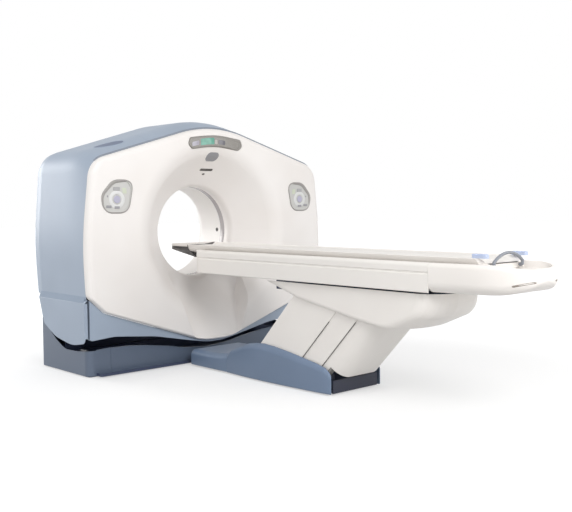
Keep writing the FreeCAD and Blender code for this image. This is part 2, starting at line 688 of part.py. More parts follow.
def tilt_sector_gear():
    """Toothed sector below the right trunnion with its clamping hub."""
    low, high = GEAR_X[0], GEAR_X[1]
    outline = gear_points(SECTOR_TEETH, ISO_Z, -90.0, SECTOR_SHOWN, 60.0)
    body = prism(outline, "yz", low, high).fuse(cylinder(74.0, low, high, "x", 0.0, ISO_Z))
    for angle in (-125.0, -90.0, -55.0):
        a = math.radians(angle)
        body = body.cut(cylinder(20.0, low - 1, high + 1, "x", 118.0 * math.cos(a),
                                 ISO_Z + 118.0 * math.sin(a)))
    hole = cylinder(TRUNNION_R + 0.5, low - 1, high + 1, "x", 0.0, ISO_Z)
    return biggest(body.cut(hole))


def tilt_pinion():
    outline = gear_points(PINION_TEETH, PINION_Z, 90.0, PINION_TEETH, 0.0)
    wheel = prism(outline, "yz", GEAR_X[0] + 1.0, GEAR_X[1] - 1.0)
    shaft = cylinder(PINION_SHAFT_R, GEAR_X[0] + 1.0, STANCHION_X[1] + 40.0, "x", 0.0, PINION_Z)
    return fused(wheel, shaft)


def tilt_frame():
    """Stationary plate behind the rotor, arms round it and the two trunnions."""
    plate = ring(BEARING_R + 28.0, FRAME_PLATE_R, *FRAME_PLATE_Y)
    wing = [(700.0, ISO_Z - 230.0), (ARM_X[1], ISO_Z - 230.0), (ARM_X[1], ISO_Z + 230.0),
            (700.0, ISO_Z + 230.0)]
    wing = prism(wing, "xz", *FRAME_PLATE_Y)
    arm = [(-100.0, ISO_Z - 150.0, 60.0), (FRAME_PLATE_Y[1], ISO_Z - 230.0, 20.0),
           (FRAME_PLATE_Y[1], ISO_Z + 230.0, 20.0), (-100.0, ISO_Z + 150.0, 60.0)]
    arm = prism(arm, "yz", *ARM_X)
    inner = [(-70.0, ISO_Z - 120.0, 40.0), (FRAME_PLATE_Y[0], ISO_Z - 180.0, 20.0),
             (FRAME_PLATE_Y[0], ISO_Z + 180.0, 20.0), (-70.0, ISO_Z + 120.0, 40.0)]
    arm = arm.cut(prism(inner, "yz", ARM_X[0] + 14.0, ARM_X[1] - 14.0))
    pin = cylinder(TRUNNION_R, ARM_X[1] - 30.0, STANCHION_X[1] - 6.0, "x", 0.0, ISO_Z)
    shoulder = cylinder(80.0, ARM_X[1] - 2.0, GEAR_X[0] - 1.0, "x", 0.0, ISO_Z)
    bracket = [(600.0, 1470.0), (1096.0, 1290.0), (1096.0, 1350.0), (640.0, 1530.0)]
    bracket = prism(bracket, "xz", FRAME_PLATE_Y[0], FRAME_PLATE_Y[0] + 12.0)
    body = fused(plate, *with_mirror(wing), *with_mirror(arm), *with_mirror(pin),
                 *with_mirror(shoulder), *with_mirror(bracket))
    for i in range(12):
        a = math.radians(30.0 * i + 15.0)
        body = body.cut(cylinder(52.0, FRAME_PLATE_Y[0] - 1, FRAME_PLATE_Y[1] + 1, "y",
                                 640.0 * math.cos(a), ISO_Z + 640.0 * math.sin(a)))
    return biggest(body.fuse(motor_carrier()))


def bearing_outer_ring():
    inner = BEARING_R
    outer = BEARING_R + 27.5
    return turned([(inner, 97.0), (outer + 22.0, 97.0), (outer + 22.0, FRAME_PLATE_Y[0] - 0.5),
                   (outer, FRAME_PLATE_Y[0] - 0.5), (outer, 165.0), (inner, 165.0)])


def bearing_inner_ring():
    outer = BEARING_R - RUN_FIT
    return turned([(ROTOR_BORE + 19.0, 92.0), (outer - 12.0, 92.0), (outer - 12.0, 97.0),
                   (outer, 97.0), (outer, 165.0), (ROTOR_BORE + 19.0, 165.0)])


def motor_carrier():
    """Ring motor's fixed carrier with winding slots, in front of the stationary plate."""
    body = ring(ROTOR_R + 4.0, FRAME_PLATE_R - 3.0, ROTOR_PLATE_Y[0] - 4.0, FRAME_PLATE_Y[0] + 1.0)
    for i in range(36):
        a = math.radians(10.0 * i)
        notch = box((ROTOR_R + 10.0, FRAME_PLATE_R), (ROTOR_PLATE_Y[0] - 5, ROTOR_PLATE_Y[1]),
                    (ISO_Z - 9.0, ISO_Z + 9.0))
        notch.rotate(V(0, 0, ISO_Z), V(0, 1, 0), math.degrees(a))
        body = body.cut(notch)
    return biggest(body)


def rotor_drum():
    """Rotating plate with hub tube, outer rim and cast-in windows."""
    y0, y1 = ROTOR_PLATE_Y
    body = turned([(ROTOR_BORE, y0), (ROTOR_R - 8.0, y0), (ROTOR_R - 8.0, ROTOR_FRONT + 10.0),
                   (ROTOR_R, ROTOR_FRONT + 10.0), (ROTOR_R, y1), (ROTOR_BORE + 18.5, y1),
                   (ROTOR_BORE + 18.5, 165.0), (ROTOR_BORE, 165.0)])
    for i in range(8):
        a = math.radians(45.0 * i + 22.5)
        body = body.cut(cylinder(60.0, y0 - 1, y1 + 1, "y", 620.0 * math.cos(a),
                                 ISO_Z + 620.0 * math.sin(a)))
    return biggest(body)


def xray_tube():
    """Tube housing: barrel with stepped ends, ribs and two cable sockets."""
    z = ISO_Z + 590.0
    body = cylinder(105.0, -165.0, 20.0, "y", 0.0, z)
    body = body.fuse(cylinder(78.0, ROTOR_FRONT + 6, -160.0, "y", 0.0, z))
    for i in range(3):
        y = -140.0 + 60.0 * i
        body = body.fuse(cylinder(112.0, y, y + 8.0, "y", 0.0, z))
    foot = box((-90.0, 90.0), (10.0, ROTOR_SEAT), (z - 90.0, z + 90.0))
    for x in (-55.0, 55.0):
        body = body.fuse(cylinder(24.0, -100.0 + x / 2, -52.0 + x / 2, "y", x, z + 88.0))
    return biggest(body.fuse(foot).removeSplitter())


def collimator():
    z = ISO_Z + 390.0
    outline = [(-70.0, z, 6.0), (70.0, z, 6.0), (110.0, z + 82.0, 6.0), (-110.0, z + 82.0, 6.0)]
    body = prism(outline, "xz", -120.0, ROTOR_SEAT)
    slit = [(-60.0, z - 1.0), (60.0, z - 1.0), (20.0, z + 90.0), (-20.0, z + 90.0)]
    return biggest(body.cut(prism(slit, "xz", -74.0, -58.0)))


def detector_arc():
    """Detector on an arc round the tube's focus, its modules marked by cooling slots."""
    focus = ISO_Z + 590.0
    near = 1065.0
    far = 1150.0
    half = 26.0
    y0, y1 = -150.0, ROTOR_SEAT

    def spot(radius, angle):
        a = math.radians(-90.0 + angle)
        return at("xz", radius * math.cos(a), focus + radius * math.sin(a), y0)

    outer = Part.Arc(spot(far, -half), spot(far, 0.0), spot(far, half)).toShape()
    inner = Part.Arc(spot(near, half), spot(near, 0.0), spot(near, -half)).toShape()
    ends = [Part.makeLine(spot(far, half), spot(near, half)),
            Part.makeLine(spot(near, -half), spot(far, -half))]
    body = Part.Face(Part.Wire([outer, ends[0], inner, ends[1]])).extrude(V(0, y1 - y0, 0))
    for i in range(13):
        angle = -24.0 + 4.0 * i
        fin = box((-5.0, 5.0), (y0 - 1, y0 + 60.0), (focus - far - 1, focus - far + 40.0))
        fin.rotate(V(0, 0, focus), V(0, 1, 0), angle)
        body = body.cut(fin)
    return biggest(body)


def finned_box(side, fins, along):
    """Rotor unit beside the bore with cooling fins on its outer face."""
    outline = [(455.0, ISO_Z - 150.0, 18.0), (690.0, ISO_Z - 150.0, 18.0),
               (690.0, ISO_Z + 150.0, 18.0), (455.0, ISO_Z + 150.0, 18.0)]
    body = prism(outline, "xz", -150.0, ROTOR_SEAT)
    for i in range(fins):
        step = 300.0 / (fins + 1)
        z = ISO_Z - 150.0 + step * (i + 1)
        if along:
            gap = box((470.0, 675.0), (-151.0, -118.0), (z - 5.0, z + 5.0))
        else:
            gap = box((660.0, 700.0), (-130.0, 40.0), (z - 8.0, z + 8.0))
        body = body.cut(gap)
    body = biggest(body)
    return body if side > 0 else mirrored(body)


def slip_ring():
    """Disc behind the rotor plate with concentric power and signal tracks."""
    y0 = ROTOR_PLATE_Y[1]
    body = ring(500.0, 720.0, y0, y0 + 20.0)
    for i in range(3):
        r = 530.0 + 60.0 * i
        body = body.cut(ring(r, r + 30.0, y0 + 15.0, y0 + 21.0))
    return body


# ---- Plinth covers -------------------------------------------------------------------------
def plinth_front_cover():
    half = PLINTH_SEAM_X - SEAM / 2
    top = [(half, 197.0), (706.0, 194.0, 300.0), (560.0, 180.0, 300.0), (350.0, 150.0, 400.0),
           (226.0, 125.0, 400.0), (0.0, 105.0, 300.0)]
    outline = both_sides([(half, 8.0)] + top)
    hollow = inset(outline, [WALL * 2] * len(outline))
    front = prism(outline, "xz", PLINTH_FRONT, PLINTH_FRONT + 14.0)
    front = front.cut(prism(hollow, "xz", PLINTH_FRONT + WALL, PLINTH_FRONT + 20.0))
    for x in (-600.0, -300.0, 0.0, 300.0, 600.0):
        rib = box((x - 2, x + 2), (PLINTH_FRONT + 2, PLINTH_FRONT + 12), (12.0, 92.0))
        front = front.fuse(rib)
    return biggest(front)


def plinth_side_cover():
    """Right plinth cover: wraps from the front seam round the corner to the back."""
    start = PLINTH_SEAM_X + SEAM / 2
    outer = [(start, PLINTH_FRONT), (PLINTH_HALF, PLINTH_FRONT, PLINTH_CORNER_R),
             (PLINTH_HALF, PLINTH_BACK, 30.0), (start + 130.0, PLINTH_BACK)]
    inner = [(start + 130.0, PLINTH_BACK - WALL), (PLINTH_HALF - WALL, PLINTH_BACK - WALL, 26.0),
             (PLINTH_HALF - WALL, PLINTH_FRONT + WALL, PLINTH_CORNER_R - WALL),
             (start, PLINTH_FRONT + WALL)]
    body = prism(outer + inner, "xy", 8.0, 420.0)
    front_top = [(800.0, 204.0), (880.0, 200.0), (1100.0, 188.0), (1100.0, 500.0), (800.0, 500.0)]
    body = body.cut(prism(front_top, "xz", PLINTH_FRONT - 5.0, PLINTH_FRONT + PLINTH_CORNER_R))
    side_top = [(PLINTH_FRONT - 5.0, 191.0), (-150.0, 176.0, 500.0), (30.0, 172.0, 200.0),
                (167.0, 232.0, 300.0), (330.0, 345.0, 300.0), (PLINTH_BACK + 5.0, 382.0),
                (PLINTH_BACK + 5.0, 600.0), (PLINTH_FRONT - 5.0, 600.0)]
    return biggest(body.cut(prism(side_top, "yz", 980.0, 1100.0)))


# ---- Table base ----------------------------------------------------------------------------
def table_base_frame():
    rail = box(RAIL_X, (-1850.0, -480.0), (15.0, 60.0))
    rail = rail.cut(box((RAIL_X[0] + 6, RAIL_X[1] - 6), (-1851.0, -479.0), (21.0, 54.0)))
    body = fused(*with_mirror(rail))
    for y in (-500.0, -900.0, -1230.0, -1560.0, -1820.0):
        body = body.fuse(box((-RAIL_X[1], RAIL_X[1]), (y - 20.0, y + 20.0), (0.0, 30.0)))
    for y in (-500.0, -1230.0, -1820.0):
        foot = [(-200.0, y - 25.0, 15.0), (200.0, y - 25.0, 15.0), (200.0, y + 25.0, 15.0),
                (-200.0, y + 25.0, 15.0)]
        body = body.fuse(prism(foot, "xy", 0.0, 15.0))
    for y, spread, radius in ((FRONT_PIVOT_Y, PIVOT_PLATE_X, PIVOT_R),
                              (REAR_PIVOT_Y, PIVOT_PLATE_X, PIVOT_R),
                              (MID_PIVOT_Y, LINK_PLATE_X, LINK_PIVOT_R)):
        plate = [(y - 50.0, 20.0), (y + 50.0, 20.0), (y + 26.0, PIVOT_Z + 26.0, 25.0),
                 (y - 26.0, PIVOT_Z + 26.0, 25.0)]
        plate = prism(plate, "yz", *spread)
        plate = plate.cut(cylinder(radius + RUN_FIT, spread[0] - 1, spread[1] + 1, "x", y,
                                   PIVOT_Z))
        body = body.fuse(plate).fuse(mirrored(plate))
    for y in (-500.0, -1820.0):
        hole = cylinder(ANCHOR_HOLE_R, -1.0, 31.0, "z", 180.0, y)
        body = cut(body, *with_mirror(hole))
    return biggest(body.removeSplitter())


BASE_STATIONS = ((-862.0, 247.0, 150.0), (-905.0, 251.0, 186.0), (-1007.0, 259.0, 221.0),
                 (-1107.0, 264.0, 251.0), (-1267.0, 268.0, 266.0), (-1470.0, 266.0, 245.0),
                 (-1672.0, 259.0, 215.0), (-1846.0, 250.0, 185.0), (-1903.0, 238.0, 150.0))


@lru_cache
def base_form(stations, wall):
    """Pillow-shaped base through stations of (y, half-width, top)."""
    sections = []
    for y, half, top in refined(stations, 2):
        outline = both_sides([(half, BASE_BOTTOM, 12.0), (half, top, 45.0)])
        sections.append((inset(outline, wall), y))
    return loft(sections, "xz")


def base_side_cover():
    """Right base cover: bowed side wall, rolled top edge and rounded foot corner."""
    half = box((SLOT_HALF, 400), (-1950, -800), (-50, 400))
    body = base_form(BASE_STATIONS, 0.0).common(half).cut(base_form(BASE_STATIONS, WALL))
    core = base_form(BASE_STATIONS, WALL / 2).common(half)
    body = body.fuse(core.common(box((SLOT_HALF, 260.0), (-1904.0, -1899.0), (12.0, 140.0))))
    for y in (-1000.0, -1300.0, -1600.0):
        rib = box((SLOT_HALF + 4.0, 300.0), (y - 2, y + 2), (BASE_BOTTOM + 2, 300.0))
        body = body.fuse(rib.common(core))
    return biggest(body)


def base_front_cover():
    stations = ((-423.0, 234.0, 108.0), (-430.0, 241.0, 120.0), (-445.0, 245.0, 128.0),
                (-600.0, 247.0, 131.0), (-740.0, 248.0, 134.0), (-860.5, 247.0, 148.0))
    hollow = ((-427.0, 234.0, 108.0),) + stations[1:-1] + ((-862.0, 247.0, 148.0),)
    body = base_form(stations, 0.0).cut(base_form(hollow, WALL))
    return biggest(body.cut(box((-300, 300), (-900, -400), (-5, BASE_BOTTOM + 5))))


def base_foot_skirt():
    """Dark bar that closes the foot end between the two base covers."""
    half = REAR_COVER_X + 2.0
    outline = [(-half, -1889.0, 4.0), (-half, -1900.0, 6.0), (half, -1900.0, 6.0),
               (half, -1889.0, 4.0)]
    body = prism(outline, "xy", 10.0, 95.0)
    return biggest(body.cut(box((6.0 - half, half - 6.0), (-1896.0, -1880.0), (14.0, 91.0))))


def lift_actuator_body():
    """Fixed tube of the lift actuator with its motor and two feet."""
    z = rod_height()
    tube = cylinder(24.0, -1250.0, -560.0, "y", 0.0, z)
    motor = cylinder(34.0, -690.0, -540.0, "y", 0.0, z + 4.0)
    collar = cylinder(26.5, -1262.0, -1240.0, "y", 0.0, z)
    body = fused(tube, motor, collar)
    for y in (-900.0, -1230.0):
        body = body.fuse(box((-30.0, 30.0), (y - 18.0, y + 18.0), (30.0, z)))
    bore = cylinder(ROD_R + RUN_FIT, -1263.0, -840.0, "y", 0.0, z)
    return biggest(body.removeSplitter().cut(bore))


def crank_pin():
    """Place (y, z) of the crank's pin at rest."""
    a = math.radians(CRANK_REST)
    return FRONT_PIVOT_Y - CRANK_R * math.sin(a), PIVOT_Z - CRANK_R * math.cos(a)


def rod_height():
    return crank_pin()[1]


# ---- Lift ----------------------------------------------------------------------------------
def along_leg(pivot_y, s, t):
    """(y, z) of a point s up a leg from its lower pivot and t square to it."""
    a = math.radians(REST_ANGLE)
    y = pivot_y - s * math.cos(a) + t * math.sin(a)
    return y, PIVOT_Z + s * math.sin(a) + t * math.cos(a)


def top_pivot(pivot_y):
    return along_leg(pivot_y, LEG_LENGTH, 0.0)


def leg_bar(pivot_y, half, spread):
    """Round-ended bar between a lower and an upper pivot."""
    r = half - 0.05
    points = []
    for s, t in ((-half, half), (-half, -half), (LEG_LENGTH + half, -half),
                 (LEG_LENGTH + half, half)):
        points.append(along_leg(pivot_y, s, t) + (r,))
    return prism(points, "yz", *spread)


def front_leg():
    """Both front arms on one cross shaft, with the actuator's crank."""
    top_y, top_z = top_pivot(FRONT_PIVOT_Y)
    arm = leg_bar(FRONT_PIVOT_Y, LEG_HALF, LEG_X)
    stub = cylinder(PIVOT_R, PIVOT_PLATE_X[0] - 2.0, LEG_X[0] + 5.0, "x", top_y, top_z)
    shaft = cylinder(PIVOT_R, -LEG_X[0] - 5, LEG_X[0] + 5, "x", FRONT_PIVOT_Y, PIVOT_Z)
    pin_y, pin_z = crank_pin()
    crank = prism([(FRONT_PIVOT_Y - 22, PIVOT_Z + 22, 16.0), (pin_y - 17, pin_z - 16, 12.0),
                   (pin_y + 17, pin_z - 16, 12.0), (FRONT_PIVOT_Y + 22, PIVOT_Z + 22, 16.0)],
                  "yz", 16.0, 26.0)
    pin = cylinder(LINK_PIN_R, -18.0, 18.0, "x", pin_y, pin_z)
    body = fused(shaft, pin, *with_mirror(crank), *with_mirror(arm), *with_mirror(stub))
    return biggest(body)


def rear_leg():
    top_y, top_z = top_pivot(REAR_PIVOT_Y)
    arm = leg_bar(REAR_PIVOT_Y, LEG_HALF, LEG_X)
    stub = cylinder(PIVOT_R, PIVOT_PLATE_X[0] - 2.0, LEG_X[0] + 5.0, "x", REAR_PIVOT_Y, PIVOT_Z)
    shaft = cylinder(PIVOT_R, -LEG_X[0] - 5, LEG_X[0] + 5, "x", top_y, top_z)
    return biggest(fused(shaft, *with_mirror(arm), *with_mirror(stub)))


def mid_link():
    """Slim guide link that carries the middle lift covers."""
    top_y, top_z = top_pivot(MID_PIVOT_Y)
    arm = leg_bar(MID_PIVOT_Y, 22.0, ARM_LINK_X)
    lower = cylinder(LINK_PIVOT_R, -LINK_PLATE_X[1] - 2, LINK_PLATE_X[1] + 2, "x", MID_PIVOT_Y,
                     PIVOT_Z)
    upper = cylinder(LINK_PIVOT_R, -LINK_PLATE_X[1] - 2, LINK_PLATE_X[1] + 2, "x", top_y, top_z)
    pin = cylinder(LINK_PIN_R, -MID_COVER_X, MID_COVER_X, "x", MID_PIVOT_Y, PIVOT_Z)
    return biggest(fused(lower, upper, pin, *with_mirror(arm)))


def cheek(pivot_y, low, high, bottom, top, inner_x):
    """Flat right lift cover between two lines square to the leg, ends cut level."""
    a = math.radians(REST_ANGLE)
    points = []
    for t, level in ((low, bottom), (high, bottom), (high, top), (low, top)):
        s = (level - PIVOT_Z - t * math.cos(a)) / math.sin(a)
        points.append(along_leg(pivot_y, s, t) + (18.0,))
    return prism(points, "yz", inner_x, inner_x + COVER_T)


def front_leg_cover():
    body = cheek(FRONT_PIVOT_Y, -110.0, 222.0, 150.0, 672.0, FRONT_COVER_X)
    block = [along_leg(FRONT_PIVOT_Y, s, t) + (8.0,) for s, t in
             ((-25.0, 24.0), (-25.0, -24.0), (45.0, -24.0), (45.0, 24.0))]
    return biggest(body.fuse(prism(block, "yz", LEG_X[1] + 0.2, FRONT_COVER_X + 1)))


def mid_leg_cover():
    body = cheek(MID_PIVOT_Y, -76.0, 76.0, 135.0, 655.0, MID_COVER_X)
    boss = cylinder(14.0, MID_COVER_X - 2.0, MID_COVER_X + 1.0, "x", MID_PIVOT_Y, PIVOT_Z)
    hole = cylinder(LINK_PIN_R + 0.2, MID_COVER_X - 5.0, MID_COVER_X - 0.0, "x", MID_PIVOT_Y,
                    PIVOT_Z)
    return biggest(body.fuse(boss).cut(hole))


def rear_leg_cover():
    """One-piece rear lift cover that wraps round the foot side of the rear leg."""
    a = math.radians(REST_ANGLE)
    outer_half = REAR_COVER_X + COVER_T
    back = -119.0
    outline = [(-outer_half, 33.0), (-outer_half, back, 110.0), (outer_half, back, 110.0),
               (outer_half, 33.0), (REAR_COVER_X, 33.0), (REAR_COVER_X, back + COVER_T, 106.0),
               (-REAR_COVER_X, back + COVER_T, 106.0), (-REAR_COVER_X, 33.0)]
    body = prism(outline, "xy", -200.0, 1100.0)
    body.rotate(V(0, 0, 0), V(1, 0, 0), 90.0 - REST_ANGLE)
    body.translate(V(0, REAR_PIVOT_Y, PIVOT_Z))
    level = PIVOT_Z + 114.0 * math.sin(a) + back * math.cos(a)
    body = body.common(box((-300, 300), (-2900, -1200), (level, 566.0)))
    heel = [along_leg(REAR_PIVOT_Y, s, t) for s, t in
            ((-50.0, -20.0), (-50.0, -140.0), (112.0, -140.0), (112.0, -20.0))]
    body = body.cut(prism(heel, "yz", -300.0, 300.0))
    block = [along_leg(REAR_PIVOT_Y, s, t) + (8.0,) for s, t in
             ((-25.0, 24.0), (-25.0, -18.0), (45.0, -18.0), (45.0, 24.0))]
    block = prism(block, "yz", LEG_X[1] + 0.2, REAR_COVER_X + 1)
    return biggest(fused(body, *with_mirror(block)))


def actuator_rod():
    """Rod with a slotted eye for the crank's pin."""
    pin_y, z = crank_pin()
    rod = cylinder(ROD_R, pin_y + 30.0, -900.0, "y", 0.0, z)
    eye = prism([(pin_y - 30, z - 24, 12.0), (pin_y + 40, z - 24, 12.0),
                 (pin_y + 40, z + 24, 12.0), (pin_y - 30, z + 24, 12.0)], "yz", -12.0, 12.0)
    slot_y = LINK_PIN_R + 1.2
    slot_z = LINK_PIN_R + 7.0
    slot = prism([(pin_y - slot_y, z - slot_z, 8.0), (pin_y + slot_y, z - slot_z, 8.0),
                  (pin_y + slot_y, z + slot_z, 8.0), (pin_y - slot_y, z + slot_z, 8.0)], "yz",
                 -13.0, 13.0)
    return biggest(rod.fuse(eye).cut(slot))


def upper_frame():
    """Welded frame on top of the lift with the hinge plates and the slide rails."""
    y0, y1 = -2690.0, -1295.0
    rail = box(RAIL_X, (y0, y1), RAIL_Z)
    rail = rail.cut(box((RAIL_X[0] + 6, RAIL_X[1] - 6), (y0 - 1, y1 + 1),
                        (RAIL_Z[0] + 6, RAIL_Z[1] - 8)))
    body = fused(*with_mirror(rail))
    for y in (-1320.0, -1700.0, -2060.0, -2400.0, -2660.0):
        tie = box((-RAIL_X[0] - 2, RAIL_X[0] + 2), (y - 20, y + 20), (668.0, 708.0))
        body = body.fuse(tie)
    for y in (-2400.0, -2600.0):
        arm = box((-236.0, 236.0), (y - 12, y + 12), (690.0, 702.0))
        body = body.fuse(arm)
    for base_y, spread, radius in ((FRONT_PIVOT_Y, PIVOT_PLATE_X, PIVOT_R),
                                   (REAR_PIVOT_Y, PIVOT_PLATE_X, PIVOT_R),
                                   (MID_PIVOT_Y, LINK_PLATE_X, LINK_PIVOT_R)):
        y, z = top_pivot(base_y)
        plate = [(y - 26, z - 26, 25.0), (y + 26, z - 26, 25.0), (y + 60, RAIL_Z[0] + 30),
                 (y - 60, RAIL_Z[0] + 30)]
        plate = prism(plate, "yz", *spread)
        plate = plate.fuse(mirrored(plate))
        hole = cylinder(radius + RUN_FIT, -spread[1] - 3, spread[1] + 3, "x", y, z)
        body = body.fuse(plate).cut(hole)
    return biggest(body)


def frame_form(wall):
    """Upper frame cover's form: tray with a raked nose, rounded edges and a rounded foot."""
    edge = FRAME_EDGE_R - wall
    centre = FRAME_HALF - FRAME_EDGE_R

    def outline(lift, x):
        round_off = FRAME_PLAN_DROP * (x / FRAME_HALF) ** 3
        points = [(-2772.0 + round_off, FRAME_TOP), (-2772.0 + round_off, 590.0, 130.0),
                  (-2505.0 + round_off, 474.0, 200.0), (-2140.0, 506.0, 500.0),
                  (-1598.0, 606.0, 200.0), (-1284.0, FRAME_TOP)]
        return inset(points, [wall + lift] * 5 + [-wall])

    sections = [(outline(0.0, centre * share), centre * share)
                for share in (0.0, 0.35, 0.6, 0.8, 1.0)]
    for i in range(1, FRAME_BANDS + 1):
        turn = math.radians(90.0 * i / FRAME_BANDS)
        x = centre + edge * math.sin(turn)
        sections.append((outline(edge * (1 - math.cos(turn)), x), x))
    form = loft(sections, "yz")
    return form.fuse(mirrored(form))


def upper_frame_cover():
    body = frame_form(0.0).cut(frame_form(WALL))
    body = body.cut(box((-SLOT_HALF, SLOT_HALF), (-2345.0, -1270.0), (400.0, 800.0)))
    return biggest(body)


# ---- Support and cradle --------------------------------------------------------------------
def support_outline():
    """Right half of the support's section, an inverted trough with a side groove."""
    low, high = SUPPORT_Z
    half = SUPPORT_HALF
    return [(half, low, 6.0), (half, 822.0, 3.0), (half - 5, 826.0, 2.0), (half - 5, 834.0, 2.0),
            (half, 838.0, 3.0), (half, high, 22.0), (BAY_HALF, high, 6.0), (BAY_HALF - 2.0, DECK_Z + 8, 14.0)]


def support_body():
    """Long support: side shells, deck, closed nose and two carriage webs with feet."""
    low, high = SUPPORT_Z
    half = SUPPORT_HALF
    y0, y1 = SUPPORT_Y[1] + SEAM / 2, SUPPORT_Y[0]
    outer = both_sides(support_outline())
    body = prism(outer, "xz", y0, y1)
    nose = prism([(-half, y0 - 1), (half, y0 - 1), (half, y1, 60.0), (-half, y1, 60.0)], "xy",
                 low - 1, high + 1)
    body = body.common(nose)
    inner_right = [(half - 9, low - 5), (half - 9, high - 5, 16.0),
                   (BAY_HALF + 5.0, high - 5, 5.0), (BAY_HALF + 3.0, DECK_Z, 10.0)]
    core = prism(both_sides(inner_right), "xz", y0 - 1, y1 - 6.0)
    core = core.common(prism([(-half + 6, y0 - 1), (half - 6, y0 - 1), (half - 6, y1 - 6, 54.0),
                              (-half + 6, y1 - 6, 54.0)], "xy", low - 6, high + 1))
    body = body.cut(core)
    body = body.cut(box((-BAY_HALF - 6.0, BAY_HALF + 6.0), (y1 - 62.0, y1 + 1),
                        (low - 1, DECK_Z - 60.0)))
    web = box((124.0, 130.0), (-2680.0, -620.0), (728.0, DECK_Z + 2))
    foot = box((98.0, 142.0), (-2680.0, -1300.0), (RAIL_Z[1] + 0.3, 732.0))
    body = fused(body, *with_mirror(web), *with_mirror(foot))
    return biggest(body)


FOOT_STATIONS = ((SUPPORT_Y[1], SUPPORT_HALF, 720.0, 887.0),
                 (FOOT_Y + 423.0, SUPPORT_HALF - 1.0, 738.0, 888.0),
                 (FOOT_Y + 263.0, SUPPORT_HALF - 8.0, 750.0, 892.0),
                 (FOOT_Y + 143.0, SUPPORT_HALF - 30.0, 757.0, 898.0),
                 (FOOT_Y + 63.0, SUPPORT_HALF - 73.0, 762.0, 895.0),
                 (FOOT_Y + 21.0, SUPPORT_HALF - 128.0, 770.0, 884.0),
                 (FOOT_Y, SUPPORT_HALF - 200.0, 792.0, 862.0))


def foot_form(wall):
    sections = []
    for y, half, low, high in refined(FOOT_STATIONS, 2):
        radius = min(34.0, (high - low) / 2 - 2)
        outline = both_sides([(half, low, radius), (half, high, radius)])
        sections.append((inset(outline, wall), min(y + wall, FOOT_STATIONS[0][0])))
    return loft(sections, "xz")


def cradle_bay(grow):
    """Hollow in the support's foot end for the cradle's end and handle."""
    half = BAY_HALF + grow
    end = FOOT_Y + BAY_WALL - grow
    front = SUPPORT_Y[1] + 103.0
    outline = [(-half, end, 150.0 + grow), (half, end, 150.0 + grow), (half, front),
               (-half, front)]
    return prism(outline, "xy", DECK_Z + 8.0 - grow, 1000.0)


def foot_end_cover():
    """Rounded foot end with the cradle bay above and a grip slot in its left side."""
    whole = foot_form(0.0)
    lined = cradle_bay(WALL).common(foot_form(1.0))
    body = whole.cut(foot_form(WALL)).fuse(lined).cut(cradle_bay(0.0))
    grip = slot_outline(FOOT_Y + 140.5, 791.0, GRIP_HALF, GRIP_RISE)
    return biggest(body.cut(prism(grip, "yz", -SUPPORT_HALF - 20.0, SUPPORT_HALF + 20.0)))


def cradle_board():
    y0, y1 = CRADLE_Y[1], CRADLE_Y[0]
    section = both_sides([
        (120.0, CRADLE_BOTTOM, 110.0), (CRADLE_HALF - 15.0, 872.0, 40.0),
        (CRADLE_HALF, CRADLE_TOP, 3.0),
        (DISH_HALF + (CRADLE_TOP - DISH_Z) / DISH_SLOPE, CRADLE_TOP, 3.0),
        (DISH_HALF, DISH_Z, DISH_R)])
    body = prism(section, "xz", y0, y1)
    plan = [(-CRADLE_HALF, y0, 50.0), (CRADLE_HALF, y0, 50.0), (CRADLE_HALF, y1 + 1),
            (-CRADLE_HALF, y1 + 1)]
    body = body.common(prism(plan, "xy", 800.0, 1000.0))
    lug = box((150.0, 166.0), (y0 - 26.0, y0 + 60.0), (862.0, 884.0))
    lug = lug.cut(cylinder(5.0 + RUN_FIT, 140.0, 180.0, "x", HANDLE_Y, HANDLE_Z))
    body = fused(body, *with_mirror(lug))
    hole = cylinder(5.0 + RUN_FIT, 140.0, 180.0, "x", HANDLE_Y, HANDLE_Z)
    return biggest(cut(body, *with_mirror(hole)))


def dish_void(raised, low_y, high_y):
    """Space above a cradle dish between two depths; raised makes it shallower at the tip."""
    edge = DISH_HALF + (CRADLE_TOP - DISH_Z) / DISH_SLOPE
    sections = []
    for y, rise in ((low_y, 0.0), (CRADLE_Y[0], 0.0), (high_y, raised)):
        outline = both_sides([(DISH_HALF, DISH_Z + rise, DISH_R), (edge, CRADLE_TOP + 0.5, 3.0),
                              (edge, 1000.0)])
        sections.append((outline, y))
    return loft(sections, "xz")


def cradle_tip():
    """Dark wedge at the cradle's gantry end, its dish running out towards the tip."""
    half = CRADLE_HALF
    side = [(TIP_Y, CRADLE_TOP, 8.0), (TIP_BACK_Y, CRADLE_TOP), (TIP_BACK_Y, 816.0, 12.0),
            (-164.0, 871.0, 60.0), (TIP_Y, 896.0, 8.0)]
    body = prism(side, "yz", -half, half)
    plan = [(-half, TIP_BACK_Y - 5), (half, TIP_BACK_Y - 5), (half, TIP_Y, 90.0),
            (-half, TIP_Y, 90.0)]
    body = body.common(prism(plan, "xy", 800.0, 1000.0))
    section = both_sides([(110.0, 800.0, 60.0), (half, 890.0, 50.0), (half, CRADLE_TOP + 5)])
    body = body.common(prism(section, "xz", -400.0, -50.0))
    seat = both_sides([(120.0, CRADLE_BOTTOM, 110.0), (half - 15.0, 872.0, 40.0),
                       (half, CRADLE_TOP, 3.0), (half, 1000.0)])
    body = body.cut(prism(inset(seat, -0.2), "xz", -400.0, CRADLE_Y[0] + 0.2))
    return biggest(body.cut(dish_void(24.0, -400.0, TIP_Y + 5.0)))


